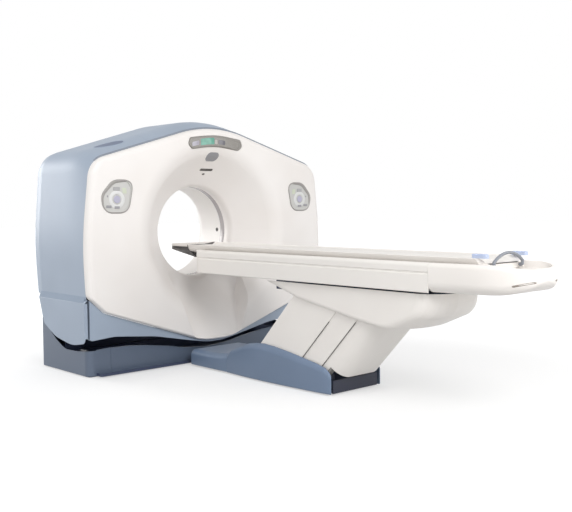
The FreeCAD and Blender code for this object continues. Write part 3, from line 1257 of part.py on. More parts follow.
def cradle_mat():
    """Thin mattress in the cradle's dish: crowned, drawn in at its edges, with channels."""
    y0, y1 = CRADLE_Y[1] + 70.0, CRADLE_Y[0] - 40.0
    panels = 6
    length = (y1 - y0) / panels
    lower = DISH_Z + MAT_GAP
    sections = []
    for i in range(panels):
        start = y0 + i * length
        for share, thick, draw in ((0.0, 14.0, 4.0), (0.03, 20.0, 1.0), (0.5, 24.0, 0.0),
                                   (0.97, 20.0, 1.0)):
            sections.append((start + share * length, thick, draw))
    sections.append((y1, 14.0, 4.0))
    rows = []
    for y, thick, draw in sections:
        half = MAT_HALF - draw
        edge = lower + (half - DISH_HALF) * DISH_SLOPE
        rows.append((both_sides([(DISH_HALF, lower, DISH_R), (half, edge, 2.0),
                                 (half - 5.0, edge + 0.4 * thick, 6.0),
                                 (0.0, lower + thick, 900.0)]), y))
    return loft(rows, "xz")


def release_handle():
    """Arched release handle across the cradle's foot end, on two pivot pins."""
    y = HANDLE_Y - 16.0
    ends_z = HANDLE_Z + 24.0
    rise = HANDLE_TOP - ends_z
    radius = (HANDLE_REACH ** 2 + rise ** 2) / (2 * rise)
    centre = V(0, y, HANDLE_TOP - radius)
    half = math.degrees(math.asin(HANDLE_REACH / radius))
    section = Part.Face(Part.Wire([Part.makeCircle(HANDLE_BAR_R, V(0, y, HANDLE_TOP),
                                                   V(1, 0, 0))]))
    section.rotate(centre, V(0, 1, 0), -half)
    body = section.revolve(centre, V(0, 1, 0), 2 * half)
    for x in (-HANDLE_REACH, HANDLE_REACH):
        body = body.fuse(Part.makeSphere(HANDLE_BAR_R, V(x, y, ends_z)))
        body = body.fuse(cylinder(HANDLE_BAR_R, HANDLE_Z, ends_z, "z", x, y))
    for side in (1, -1):
        hub = cylinder(10.0, min(side * 140.0, side * 149.4), max(side * 140.0, side * 149.4),
                       "x", HANDLE_Y, HANDLE_Z)
        neck = box((min(side * 140.0, side * 149.4), max(side * 140.0, side * 149.4)),
                   (HANDLE_Y - 16.0, HANDLE_Y), (HANDLE_Z - 4.0, HANDLE_Z + 12.0))
        pin = cylinder(5.0, min(side * 140.0, side * 164.0), max(side * 140.0, side * 164.0), "x",
                       HANDLE_Y, HANDLE_Z)
        body = body.fuse(hub).fuse(neck).fuse(pin)
    return biggest(body)


def handle_grips():
    """Two grips at the foot corners of the cradle."""
    y = CRADLE_Y[1]
    inner = CRADLE_HALF - 41.0
    outer = CRADLE_HALF - 3.0
    outline = [(inner, y - 30.0, 12.0), (outer, y - 30.0, 14.0), (outer, y + 66.0, 14.0),
               (inner, y + 66.0, 12.0)]
    grip = prism(outline, "xy", CRADLE_TOP + 0.3, CRADLE_TOP + 16.0)
    return Part.makeCompound(with_mirror(grip))


# ---- All pieces ----------------------------------------------------------------------------
PARTS = {
    "gantry_base_frame": gantry_base_frame,
    "tilt_stanchion_right": stanchion,
    "tilt_stanchion_left": lambda: mirrored(stanchion()),
    "tilt_gear_motor": tilt_gear_motor,
    "plinth_front_cover": plinth_front_cover,
    "plinth_side_cover_right": plinth_side_cover,
    "plinth_side_cover_left": lambda: mirrored(plinth_side_cover()),
    "tilt_frame": tilt_frame,
    "tilt_sector_gear": tilt_sector_gear,
    "tilt_pinion": tilt_pinion,
    "bearing_outer_ring": bearing_outer_ring,
    "front_cover": front_cover,
    "side_cover_right": side_cover,
    "side_cover_left": lambda: mirrored(side_cover()),
    "top_cover": top_cover,
    "side_skirt_right": side_skirt,
    "side_skirt_left": lambda: mirrored(side_skirt()),
    "lower_front_band": lower_front_band,
    "rear_cover": rear_cover,
    "scan_window": scan_window,
    "laser_windows": lambda: Part.makeCompound(with_mirror(laser_port()) + [laser_slit()]),
    "oval_plate": oval_plate,
    "display_bezel": display_bezel,
    "display_screen": display_screen,
    "control_panel_right": control_panel,
    "control_panel_left": lambda: mirrored(control_panel()),
    "round_button_right": round_button,
    "round_button_left": lambda: mirrored(round_button()),
    "key_button_right": key_button,
    "key_button_left": lambda: mirrored(key_button()),
    "rotor_drum": rotor_drum,
    "bearing_inner_ring": bearing_inner_ring,
    "xray_tube": xray_tube,
    "collimator": collimator,
    "detector_arc": detector_arc,
    "high_voltage_unit": lambda: finned_box(-1, 7, False),
    "heat_exchanger": lambda: finned_box(1, 14, True),
    "slip_ring": slip_ring,
    "table_base_frame": table_base_frame,
    "base_cover_right": base_side_cover,
    "base_cover_left": lambda: mirrored(base_side_cover()),
    "base_front_cover": base_front_cover,
    "base_foot_skirt": base_foot_skirt,
    "lift_actuator_body": lift_actuator_body,
    "actuator_rod": actuator_rod,
    "front_leg": front_leg,
    "rear_leg": rear_leg,
    "mid_link": mid_link,
    "lift_covers_front": lambda: Part.makeCompound(with_mirror(front_leg_cover())),
    "lift_covers_middle": lambda: Part.makeCompound(with_mirror(mid_leg_cover())),
    "lift_cover_rear": rear_leg_cover,
    "upper_frame": upper_frame,
    "upper_frame_cover": upper_frame_cover,
    "support_body": support_body,
    "foot_end_cover": foot_end_cover,
    "cradle_board": cradle_board,
    "cradle_mat": cradle_mat,
    "cradle_tip": cradle_tip,
    "release_handle": release_handle,
    "handle_grips": handle_grips,
}


def main():
    os.makedirs("parts", exist_ok=True)
    for name, make in PARTS.items():
        make().exportStep("parts/%s.step" % name)


main()
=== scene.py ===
"""Looks for a CT scanner: a tilting ring gantry and its patient table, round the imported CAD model.

The CAD nodes carry their own shapes. This script gives each one its finish, makes the mattress,
the foot end, the seals, the control panels' fittings and the small trim, and sets up a plain
studio. Lengths are metres unless a name ends in _mm. The frame is the CAD's: +X across the
gantry, +Y along the bore from the table to the back, +Z up.
"""

import logging
from dataclasses import dataclass
from enum import Enum
from functools import partial
from math import atan, copysign, cos, pi, radians, sin, sqrt, tan
from typing import Callable, ClassVar, Sequence, Union

import bmesh
import bpy
from mathutils import Matrix, Vector, noise


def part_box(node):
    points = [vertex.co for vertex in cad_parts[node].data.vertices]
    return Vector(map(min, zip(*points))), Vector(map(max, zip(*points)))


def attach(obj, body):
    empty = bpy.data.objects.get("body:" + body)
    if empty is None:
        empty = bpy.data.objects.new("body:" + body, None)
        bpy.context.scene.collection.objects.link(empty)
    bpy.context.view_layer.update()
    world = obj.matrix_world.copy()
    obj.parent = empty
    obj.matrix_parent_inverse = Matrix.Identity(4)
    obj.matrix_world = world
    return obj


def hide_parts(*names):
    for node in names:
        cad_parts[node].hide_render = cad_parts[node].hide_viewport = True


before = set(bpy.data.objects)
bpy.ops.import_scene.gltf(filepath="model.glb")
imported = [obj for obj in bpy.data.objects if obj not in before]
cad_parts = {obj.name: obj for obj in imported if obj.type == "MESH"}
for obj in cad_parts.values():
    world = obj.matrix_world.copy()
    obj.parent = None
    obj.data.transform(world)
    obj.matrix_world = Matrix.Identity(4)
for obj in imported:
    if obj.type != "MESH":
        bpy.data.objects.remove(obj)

LOG = logging.getLogger("ct_scanner")
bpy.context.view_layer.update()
MM = 0.001
AXIS_HEIGHT = 1.015           # bore axis over the floor
SKY = 2.2                     # height above everything, where rays down start
DOWN = Vector((0.0, 0.0, -1.0))
Point2 = tuple[float, float]
Place = tuple[float, float, float]
Points = list[Point2]
Outline = Sequence[Point2]
Ring = list[Vector]
Node = bpy.types.Node
Feed = Union[bpy.types.Node, bpy.types.NodeSocket]
Adder = Callable[..., bpy.types.Node]


class Body(Enum):
    """CAD bodies that pieces made here ride on."""

    GROUND = "ground_frame"
    GANTRY = "tilting_gantry"
    CRADLE = "cradle"
    SUPPORT = "support"
    FRONT_LEG = "front_lift_leg"
    MIDDLE_LINK = "middle_lift_link"


class Side(Enum):
    """Side of the object, as a factor on X."""

    RIGHT = 1
    LEFT = -1

    @property
    def word(self) -> str:
        """The side's name in lower case."""
        return self.name.lower()


# ---- Shader building


def linear(hex_colour: str) -> tuple[float, float, float, float]:
    """Turns an sRGB hex colour into the linear colour that shaders take.

    Args:
        hex_colour: Six hex digits after a hash sign.

    Returns:
        Red, green, blue and an alpha of 1, linear.
    """
    channels = [int(hex_colour[i:i + 2], 16) / 255 for i in (1, 3, 5)]
    red, green, blue = (c / 12.92 if c <= 0.04045 else ((c + 0.055) / 1.055) ** 2.4
                        for c in channels)
    return red, green, blue, 1.0


def add_node(tree: bpy.types.NodeTree, kind: str, links: dict[str | int, Feed] | None = None,
             values: dict[str | int, object] | None = None, **settings: object) -> Node:
    """Adds a shader node with its settings, values and incoming links.

    Args:
        tree: Node tree of the material or world.
        kind: Blender's name of the node type, without "ShaderNode".
        links: Input to what feeds it: a socket, or a node for its first output.
        values: Input to the value set on it.
        **settings: Attributes of the node itself.

    Returns:
        The new node.
    """
    node = tree.nodes.new("ShaderNode" + kind)
    for name, value in settings.items():
        setattr(node, name, value)
    for name, value in (values or {}).items():
        node.inputs[name].default_value = value
    for name, feed in (links or {}).items():
        tree.links.new(feed.outputs[0] if isinstance(feed, Node) else feed, node.inputs[name])
    return node


def fresh_tree(owner: bpy.types.ID) -> Adder:
    """Empties the node tree of a material or world.

    Args:
        owner: The material or world.

    Returns:
        add_node, bound to that tree.
    """
    owner.use_nodes = True
    owner.node_tree.nodes.clear()
    return partial(add_node, owner.node_tree)


def blend(add: Adder, share: Feed, low: str, high: str) -> Feed:
    """Socket of the colour between two hex colours: the first at 0, the second at 1."""
    return add("Mix", {0: share}, {6: linear(low), 7: linear(high)}, data_type="RGBA").outputs[2]


def object_space(add: Adder, stretch: Sequence[float] = (1, 1, 1)) -> Node:
    """Node that gives object coordinates in metres, scaled per axis."""
    return add("Mapping", {"Vector": add("TexCoord").outputs["Object"]}, {"Scale": tuple(stretch)})


def from_axis(add: Adder, place: Node) -> Node:
    """Node of the vector from the bore axis, square to it, at the coordinates of place."""
    centred = add("VectorMath", {0: place.outputs["Object"]}, {1: (0.0, 0.0, AXIS_HEIGHT)},
                  operation="SUBTRACT")
    return add("VectorMath", {0: centred}, {1: (1.0, 0.0, 1.0)}, operation="MULTIPLY")


@dataclass(frozen=True)
class Finish:
    """A surface finish that makes its material once and hands it out again."""

    name: str
    colour: str
    made: ClassVar[dict[str, bpy.types.Material]] = {}

    def material(self) -> bpy.types.Material:
        """Returns this finish's material, made at the first call."""
        if self.name not in Finish.made:
            material = bpy.data.materials.new(self.name)
            add = fresh_tree(material)
            add("OutputMaterial", {"Surface": self.shade(add)})
            Finish.made[self.name] = material
        return Finish.made[self.name]

    def shade(self, add: Adder) -> Node:
        """Builds the nodes of this finish with add and returns the shader."""
        raise NotImplementedError


@dataclass(frozen=True)
class MouldedABS(Finish):
    """Injection-moulded ABS or its painted foam cousin: an even satin skin.

    The eye sees one calm colour that drifts by a shade over an arm's length, a very fine moulded
    grain that softens the highlights, and no sparkle.
    """

    shade_colour: str
    roughness: float = 0.42
    grain_mm: float = 1.6     # the real grain is about 0.1 mm, too fine to show at this distance
    grain_depth_mm: float = 0.02
    drift_mm: float = 600.0
    coat: float = 0.0

    def shade(self, add: Adder) -> Node:
        """Two close tones by slow noise, grain as bump, roughness that varies slightly."""
        space = object_space(add)
        drift = add("TexNoise", {"Vector": space}, {"Scale": 1000 / self.drift_mm, "Detail": 2.0})
        tone = add("ValToRGB", {"Fac": drift})
        for stop, at, colour in zip(tone.color_ramp.elements, (0.35, 0.62),
                                    (self.shade_colour, self.colour)):
            stop.position = at
            stop.color = linear(colour)
        grain = add("TexNoise", {"Vector": space}, {"Scale": 1000 / self.grain_mm, "Detail": 3.0})
        bump = add("Bump", {"Height": grain},
                   {"Strength": 0.5, "Distance": self.grain_depth_mm * MM})
        rough = add("MapRange", {"Value": drift},
                    {"To Min": self.roughness - 0.03, "To Max": self.roughness + 0.04})
        return add("BsdfPrincipled", {"Base Color": tone, "Normal": bump, "Roughness": rough},
                   {"IOR": 1.53, "Coat Weight": self.coat, "Coat Roughness": 0.15})


@dataclass(frozen=True)
class LinedABS(MouldedABS):
    """Moulded cover with a pale lining sprayed on the faces that look at the bore."""

    lining: str = "#F5F2EF"

    def shade(self, add: Adder) -> Node:
        """The cover's own shader, its colour swapped where the surface faces the bore axis."""
        shader = super().shade(add)
        place = add("TexCoord")
        facing = add("VectorMath", {0: from_axis(add, place), 1: place.outputs["Normal"]},
                     operation="DOT_PRODUCT")
        inner = add("Math", {0: facing.outputs["Value"]}, {1: -0.02}, operation="LESS_THAN")
        base = shader.inputs["Base Color"]
        colour = add("Mix", {0: inner, 6: base.links[0].from_socket}, {7: linear(self.lining)},
                     data_type="RGBA")
        shader.id_data.links.new(colour.outputs[2], base)
        return shader


@dataclass(frozen=True)
class PowderCoat(Finish):
    """Powder-coated steel: colour melted on as a skin with a fine orange-peel swell."""

    dark: str
    roughness: float = 0.38
    peel_mm: float = 3.0      # swells of a sprayed powder coat
    peel_depth_mm: float = 0.05

    def shade(self, add: Adder) -> Node:
        """Orange peel as bump, with broad patches a touch darker and rougher."""
        space = object_space(add)
        peel = add("TexNoise", {"Vector": space},
                   {"Scale": 1000 / self.peel_mm, "Detail": 1.0, "Roughness": 0.4})
        broad = add("TexNoise", {"Vector": space}, {"Scale": 3.0, "Detail": 3.0})
        bump = add("Bump", {"Height": peel}, {"Strength": 0.6, "Distance": self.peel_depth_mm * MM})
        rough = add("MapRange", {"Value": broad},
                    {"To Min": self.roughness + 0.06, "To Max": self.roughness - 0.04})
        return add("BsdfPrincipled", {"Base Color": blend(add, broad, self.dark, self.colour),
                                      "Normal": bump, "Roughness": rough}, {"IOR": 1.5})


@dataclass(frozen=True)
class MachinedMetal(Finish):
    """Turned or milled steel or aluminium: fine tool lines that stretch the highlights."""

    roughness: float = 0.3
    line_mm: float = 1.2      # turning lines, drawn coarser than the real 0.2 mm
    lines_along: Place = (1.0, 0.05, 1.0)

    def shade(self, add: Adder) -> Node:
        """Stretched noise as bump and roughness on bare metal."""
        lines = add("TexNoise", {"Vector": object_space(add, self.lines_along)},
                    {"Scale": 1000 / self.line_mm, "Detail": 2.0})
        bump = add("Bump", {"Height": lines}, {"Strength": 0.35, "Distance": 0.03 * MM})
        rough = add("MapRange", {"Value": lines},
                    {"To Min": self.roughness - 0.08, "To Max": self.roughness + 0.1})
        return add("BsdfPrincipled", {"Normal": bump, "Roughness": rough},
                   {"Base Color": linear(self.colour), "Metallic": 1.0})


@dataclass(frozen=True)
class CastAluminium(Finish):
    """Sand-cast aluminium: dull grey with a pebbly skin."""

    roughness: float = 0.55
    grit_mm: float = 2.0      # imprint of the moulding sand, drawn a little coarse

    def shade(self, add: Adder) -> Node:
        """Pebbled bump and patchy roughness."""
        grit = add("TexVoronoi", {"Vector": object_space(add)}, {"Scale": 1000 / self.grit_mm})
        bump = add("Bump", {"Height": grit}, {"Strength": 0.4, "Distance": 0.15 * MM})
        rough = add("MapRange", {"Value": grit},
                    {"To Min": self.roughness - 0.05, "To Max": self.roughness + 0.1})
        return add("BsdfPrincipled", {"Normal": bump, "Roughness": rough},
                   {"Base Color": linear(self.colour), "Metallic": 0.9})


@dataclass(frozen=True)
class CarbonFibre(Finish):
    """Carbon-fibre laminate under clear resin: a dark twill of crossing tows.

    The eye sees small bright and dark diamonds that trade places as the light moves.
    """

    # paler checker tone: painted sheen of the tows
    light: str
    tow_mm: float = 3.0       # width of one tow

    def shade(self, add: Adder) -> Node:
        """A checker of two tones turned by 45 degrees, with clear coat over it; the paler tone is
        painted sheen of the tows.
        """
        turned = add("Mapping", {"Vector": add("TexCoord").outputs["Object"]},
                     {"Rotation": (0.0, 0.0, radians(45.0))})
        weave = add("TexChecker", {"Vector": turned},
                    {"Color1": linear(self.colour), "Color2": linear(self.light),
                     "Scale": 1000 / self.tow_mm})
        bump = add("Bump", {"Height": weave.outputs["Fac"]},
                   {"Strength": 0.25, "Distance": 0.1 * MM})
        return add("BsdfPrincipled", {"Base Color": weave, "Normal": bump},
                   {"Roughness": 0.4, "IOR": 1.55, "Coat Weight": 0.6, "Coat Roughness": 0.08})


@dataclass(frozen=True)
class VinylCloth(Finish):
    """Coated fabric for patient mats: soft satin vinyl pressed with a fine hide grain."""

    # tone of the creases' hollows: painted shade
    crease_shade: str
    grain_mm: float = 2.2     # pressed grain, drawn about twice its real size

    def shade(self, add: Adder) -> Node:
        """Cell grain as bump over soft creases; the colour is painted shade, darker where the crease
        noise, and with it the bump, is low.
        """
        space = object_space(add)
        grain = add("TexVoronoi", {"Vector": space}, {"Scale": 1000 / self.grain_mm},
                    feature="DISTANCE_TO_EDGE")
        creases = add("TexNoise", {"Vector": space}, {"Scale": 9.0, "Detail": 4.0})
        height = add("Math", {0: creases, 1: grain}, operation="MULTIPLY")
        bump = add("Bump", {"Height": height}, {"Strength": 0.5, "Distance": 0.6 * MM})
        return add("BsdfPrincipled", {"Base Color": blend(add, creases, self.crease_shade, self.colour),
                                      "Normal": bump},
                   {"Roughness": 0.5, "IOR": 1.5, "Sheen Weight": 0.15})


@dataclass(frozen=True)
class Elastomer(Finish):
    """Moulded soft rubber or silicone: matte, with a faint bloom and a light stipple."""

    bloom: str
    roughness: float = 0.62
    stipple_mm: float = 1.5

    def shade(self, add: Adder) -> Node:
        """Stippled bump, with the bloom in slow patches."""
        space = object_space(add)
        stipple = add("TexNoise", {"Vector": space},
                      {"Scale": 1000 / self.stipple_mm, "Detail": 2.0})
        patches = add("TexNoise", {"Vector": space}, {"Scale": 14.0})
        bump = add("Bump", {"Height": stipple}, {"Strength": 0.4, "Distance": 0.08 * MM})
        return add("BsdfPrincipled", {"Base Color": blend(add, patches, self.colour, self.bloom),
                                      "Normal": bump}, {"Roughness": self.roughness, "IOR": 1.45})


@dataclass(frozen=True)
class Polycarbonate(Finish):
    """Tinted clear sheet over a dark or printed ground: glossy, with depth at its edge."""

    edge: str
    roughness: float = 0.12
    glow: float = 0.0

    def shade(self, add: Adder) -> Node:
        """A slow drift between the two tones under a hard clear coat."""
        drift = add("TexNoise", {"Vector": object_space(add)}, {"Scale": 22.0, "Detail": 1.0})
        tone = blend(add, drift, self.edge, self.colour)
        return add("BsdfPrincipled", {"Base Color": tone, "Emission Color": tone},
                   {"Roughness": self.roughness, "IOR": 1.58, "Coat Weight": 0.5,
                    "Coat Roughness": 0.04, "Emission Strength": self.glow})


@dataclass(frozen=True)
class TrackDisc(Finish):
    """Slip ring: brown insulating disc with bright concentric copper tracks."""

    copper: str
    pitch_mm: float = 60.0

    def shade(self, add: Adder) -> Node:
        """Rings by the distance from the bore axis, copper where the metal mask is on."""
        radius = add("VectorMath", {0: from_axis(add, add("TexCoord"))}, operation="LENGTH")
        phase = add("Math", {0: radius.outputs["Value"]}, {1: 1000 / self.pitch_mm},
                    operation="MULTIPLY")
        share = add("Math", {0: phase}, operation="FRACT")
        mask = add("Math", {0: share}, {1: 0.5}, operation="GREATER_THAN")
        return add("BsdfPrincipled", {"Base Color": blend(add, mask, self.colour, self.copper),
                                      "Metallic": mask}, {"Roughness": 0.35})


# ---- Finishes of this scanner

COVER_BLUE = MouldedABS("cover_mist_blue_abs", "#A0ADBE", "#99A6B7", roughness=0.48)
PLINTH_SLATE = PowderCoat("plinth_slate_powder_coat", "#647083", "#5C687A")
FRAME_STEEL = PowderCoat("structure_navy_slate_powder_coat", "#3B4560", "#353E57")
TABLE_WHITE = MouldedABS("table_ivory_abs", "#F5F1EC", "#F1ECE7", roughness=0.4)
CRADLE_SKIN = MouldedABS("cradle_gelcoat_laminate", "#F3EFEA", "#EDE8E3", roughness=0.3, coat=0.3)
# second tone: painted shade in the creases
MAT_VINYL = VinylCloth("mattress_vinyl", "#EDE9E4", "#E3DED9")
GRIP_BLUE = Elastomer("grip_pale_blue_rubber", "#B9C6E2", "#C4CFE7")
RING_FILM = MouldedABS("scan_ring_grey_film", "#AFA9AA", "#A6A0A1", roughness=0.25)
BEZEL_GREY = MouldedABS("display_bezel_taupe_abs", "#918D88", "#89857F", roughness=0.35)
DIAL_PALE = MouldedABS("dial_ring_pale_abs", "#DDDDDC", "#D6D6D5", roughness=0.3)
# the lip's darker grey is painted shade: the crescent of shadow on the dish's upper side
LIP_GREY_PAINTED_SHADE = MouldedABS("panel_lip_grey_abs", "#A19D9A", "#999592", roughness=0.32)
KEY_DARK = Elastomer("key_dark_silicone", "#97969A", "#A09FA3", roughness=0.5)
KEY_PALE_GREEN = Elastomer("key_pale_green_silicone", "#C9CFBB", "#D0D5C4", roughness=0.45)
LCD_GREEN = Polycarbonate("display_green_window", "#5C9F8B", "#3C7B6B", glow=0.25)
LCD_LAVENDER = Polycarbonate("display_lavender_window", "#A5A2AC", "#9794A0", glow=0.1)
LCD_DARK = Polycarbonate("display_smoked_window", "#64626A", "#55535B")
FILM_PALE = MouldedABS("display_pale_film", "#B9B6B1", "#B1AEA9", roughness=0.3)
LENS_DARK = Polycarbonate("pointer_lens_smoked", "#6B6763", "#55514E", roughness=0.06)
# deeper blue of the handhold's cup: painted shade of the recess
SHADOW_BLUE = MouldedABS("handhold_deep_blue_abs", "#65718A", "#5B6780", roughness=0.5)
SEAL_BLUE = Elastomer("cover_seal_blue_grey_rubber", "#7F8692", "#88909B", roughness=0.6)
# darker than the cover blue: painted shade that cancels the light on the seal's upward face
SKIRT_SEAL_PAINTED_SHADE = Elastomer("skirt_seal_mist_blue_rubber", "#919EAF", "#97A4B5", roughness=0.85)
# taupe of the grip slots: painted shade of hollows that are not cut
SLOT_PAINTED_SHADE = Elastomer("slot_painted_shade_taupe", "#8A8178", "#938A81", roughness=0.7)
# dark rubber of the foot strip, and painted shade of the seams on the lift covers' lips
DARK_RUBBER_AND_SEAM_SHADE = Elastomer("cover_seal_dark_rubber", "#5B5654", "#65605E", roughness=0.7)

CAD_FINISHES: dict[Finish, tuple[str, ...]] = {
    MouldedABS("cover_warm_white_abs", "#F1EDEA", "#ECE7E3"): ("front_cover",),
    COVER_BLUE: ("side_cover_right", "side_cover_left", "top_cover", "side_skirt_right",
                 "side_skirt_left", "lower_front_band"),
    LinedABS("rear_mist_blue_abs_lined", "#A0ADBE", "#99A6B7", roughness=0.48): ("rear_cover",),
    PLINTH_SLATE: ("plinth_front_cover", "plinth_side_cover_right", "plinth_side_cover_left"),
    MouldedABS("base_steel_blue_abs", "#7486A0", "#6D7F98", roughness=0.4): (
        "base_cover_right", "base_cover_left", "base_front_cover"),
    MouldedABS("foot_bar_navy_abs", "#161C31", "#12172A", roughness=0.45): ("base_foot_skirt",),
    FRAME_STEEL: ("gantry_base_frame", "tilt_stanchion_right", "tilt_stanchion_left",
                  "tilt_frame", "table_base_frame", "upper_frame"),
    MachinedMetal("gear_machined_steel", "#9A9C9F"): (
        "tilt_sector_gear", "tilt_pinion", "bearing_outer_ring", "bearing_inner_ring",
        "actuator_rod"),
    PowderCoat("drive_charcoal_enamel", "#3A3E45", "#33373D", roughness=0.28): (
        "tilt_gear_motor", "lift_actuator_body"),
    CastAluminium("rotor_cast_aluminium", "#A9ABAE"): (
        "rotor_drum", "detector_arc", "heat_exchanger", "high_voltage_unit"),
    PowderCoat("tube_housing_ivory_enamel", "#C9C7BE", "#BDBBB2", roughness=0.3): ("xray_tube",),
    PowderCoat("collimator_graphite_enamel", "#55585E", "#4C4F55"): ("collimator",),
    TrackDisc("slip_ring_copper_tracks", "#3E2A1C", "#B87A50"): ("slip_ring",),
    PowderCoat("lift_leg_pale_enamel", "#C8C6C2", "#BDBBB7"): ("front_leg", "rear_leg", "mid_link"),
    TABLE_WHITE: ("lift_covers_front", "lift_covers_middle", "lift_cover_rear",
                  "upper_frame_cover", "foot_end_cover"),
    PowderCoat("support_white_lacquer", "#F4F0EB", "#EFEBE6", roughness=0.33): ("support_body",),
    CRADLE_SKIN: ("cradle_board",),
    CarbonFibre("cradle_tip_carbon_twill", "#2B2A2B", "#4A4748"): ("cradle_tip",),
    PowderCoat("handle_grey_enamel", "#8B8F97", "#82868E", roughness=0.3): ("release_handle",),
    GRIP_BLUE: ("handle_grips",),
    Polycarbonate("laser_window_smoked", "#4B4745", "#3C3937"): ("laser_windows",),
    RING_FILM: ("scan_window",),
    MouldedABS("badge_plate_plain_grey", "#9A9A9C", "#919194", roughness=0.35): ("oval_plate",),
    BEZEL_GREY: ("display_bezel",),
    Polycarbonate("display_ground_taupe", "#86827C", "#7D7973", roughness=0.2): ("display_screen",),
    MouldedABS("control_panel_grey_abs", "#C9C8C5", "#C2C1BE", roughness=0.4): (
        "control_panel_right", "control_panel_left"),
    Elastomer("button_lavender_silicone", "#B1AFC2", "#B9B7CA", roughness=0.45): (
        "round_button_right", "round_button_left"),
    Elastomer("key_grey_silicone", "#A8A7A8", "#B0AFB0", roughness=0.5): (
        "key_button_right", "key_button_left"),
}


# ---- Mesh building


def put(name: str, data: bpy.types.ID) -> bpy.types.Object:
    """Makes an object and links it to the scene.

    Args:
        name: Name of the object.
        data: Its mesh, lamp or camera.

    Returns:
        The new object.
    """
    made = bpy.data.objects.new(name, data)
    bpy.context.collection.objects.link(made)
    return made


@dataclass
class Loft:
    """Rings with the same number of points, joined by faces in their order."""

    rings: Sequence[Ring]
    capped: bool = True           # False joins the last ring to the first

    def join(self, mesh: bmesh.types.BMesh) -> None:
        """Adds the faces to a mesh.

        Args:
            mesh: The mesh.
        """
        rows = [[mesh.verts.new(point) for point in ring] for ring in self.rings]
        around = [] if self.capped else [(rows[-1], rows[0])]
        for low, high in list(zip(rows, rows[1:])) + around:
            count = len(low)
            for k in range(count):
                mesh.faces.new((low[k], low[(k + 1) % count], high[(k + 1) % count], high[k]))
        if self.capped:
            mesh.faces.new(rows[0][::-1])
            mesh.faces.new(rows[-1])


def add_piece(name: str, lofts: Sequence[Loft], finish: Finish, body: Body,
              sharp_degrees: float = 35.0, mirror: Side | None = None, weld: float = 0.0
              ) -> bpy.types.Object:
    """Makes a piece that rides on a CAD body.

    Args:
        name: Name of the piece.
        lofts: Its shape, in the row frame.
        finish: Its finish.
        body: The CAD body that carries it.
        sharp_degrees: Edges that turn by more than this stay sharp.
        mirror: Side to put a right-hand shape on; it ends the name.
        weld: Points nearer than this become one.

    Returns:
        The new object.
    """
    mesh = bmesh.new()
    for loft in lofts:
        loft.join(mesh)
    if mirror:
        name = f"{name}_{mirror.word}"
        bmesh.ops.scale(mesh, vec=(mirror.value, 1, 1), verts=mesh.verts)
    if weld:
        bmesh.ops.remove_doubles(mesh, verts=mesh.verts, dist=weld)
    bmesh.ops.recalc_face_normals(mesh, faces=mesh.faces)
    data = bpy.data.meshes.new(name)
    mesh.to_mesh(data)
    mesh.free()
    data.polygons.foreach_set("use_smooth", [True] * len(data.polygons))
    data.set_sharp_from_angle(angle=radians(sharp_degrees))
    data.materials.append(finish.material())
    piece = put(name, data)
    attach(piece, body.value)
    LOG.info("piece %s: %d faces on %s", name, len(data.polygons), body.value)
    return piece


def dress_cad_nodes() -> None:
    """Gives every CAD node its finish."""
    for finish, nodes in CAD_FINISHES.items():
        for node in nodes:
            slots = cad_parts[node].data.materials
            slots.clear()
            slots.append(finish.material())
            LOG.info("node %s: %s", node, finish.name)


def struck(nodes: Sequence[str], start: Vector, along: Vector) -> tuple[Vector, Vector]:
    """First point that a ray meets on some CAD nodes.

    Args:
        nodes: Names of the nodes.
        start: Where the ray starts.
        along: Its direction.

    Returns:
        The nearest point struck, and the surface's normal there.
    """
    found = []
    for node in nodes:
        hit, place, normal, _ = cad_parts[node].ray_cast(start, along)
        if hit:
            found.append((place.copy(), normal.copy()))
    if not found:
        raise ValueError("the ray meets none of the nodes")
    return min(found, key=lambda spot: (spot[0] - start).length)


# ---- Outlines and solids


def rounded(corners: Sequence[Place], steps: int = 8) -> Points:
    """Closed outline with rounded corners.

    Args:
        corners: Counter-clockwise (u, v, radius) corners.
        steps: Segments in each rounded corner.

    Returns:
        Points of the outline.
    """
    points: Points = []
    count = len(corners)
    for i, (u, v, radius) in enumerate(corners):
        corner = Vector((u, v))
        before = (Vector(corners[i - 1][:2]) - corner).normalized()
        after = (Vector(corners[(i + 1) % count][:2]) - corner).normalized()
        reach = radius / tan(before.angle(after) / 2)
        start = corner + before * reach
        end = corner + after * reach
        for k in range(steps + 1):
            t = k / steps
            point = start.lerp(corner, t).lerp(corner.lerp(end, t), t)
            points.append((point.x, point.y))
    return points


def plate(low: Point2, high: Point2, radius: float, steps: int = 5) -> Points:
    """Outline of a rectangle with rounded corners, from its low corner to its high one."""
    (u, v), (p, q) = low, high
    return rounded([(u, v, radius), (p, v, radius), (p, q, radius), (u, q, radius)], steps)


def circle(steps: int) -> Points:
    """Counter-clockwise points of the unit circle."""
    return [(cos(a), sin(a)) for a in (2 * pi * i / steps for i in range(steps))]


def drawn_in(outline: Outline, distance: float) -> Points:
    """Outline moved inwards along its own normals.

    Args:
        outline: Counter-clockwise points.
        distance: How far; below zero moves it outwards.

    Returns:
        The moved points.
    """
    moved: Points = []
    count = len(outline)
    for i, (u, v) in enumerate(outline):
        along = (Vector(outline[(i + 1) % count]) - Vector(outline[i - 1])).normalized()
        moved.append((u - along.y * distance, v + along.x * distance))
    return moved


def stack(outline: Outline, profile: Sequence[Point2], level: bool = False,
          capped: bool = True) -> Loft:
    """Solid or closed rim whose section follows an outline.

    Args:
        outline: Counter-clockwise points.
        profile: (distance inwards, y or z) of each ring.
        level: True lays the rings level, False stands them across the gantry.
        capped: True closes both ends, False joins them.

    Returns:
        The loft.
    """
    return Loft([[Vector((u, v, at) if level else (u, at, v)) for u, v in drawn_in(outline, inward)]
                 for inward, at in profile], capped)


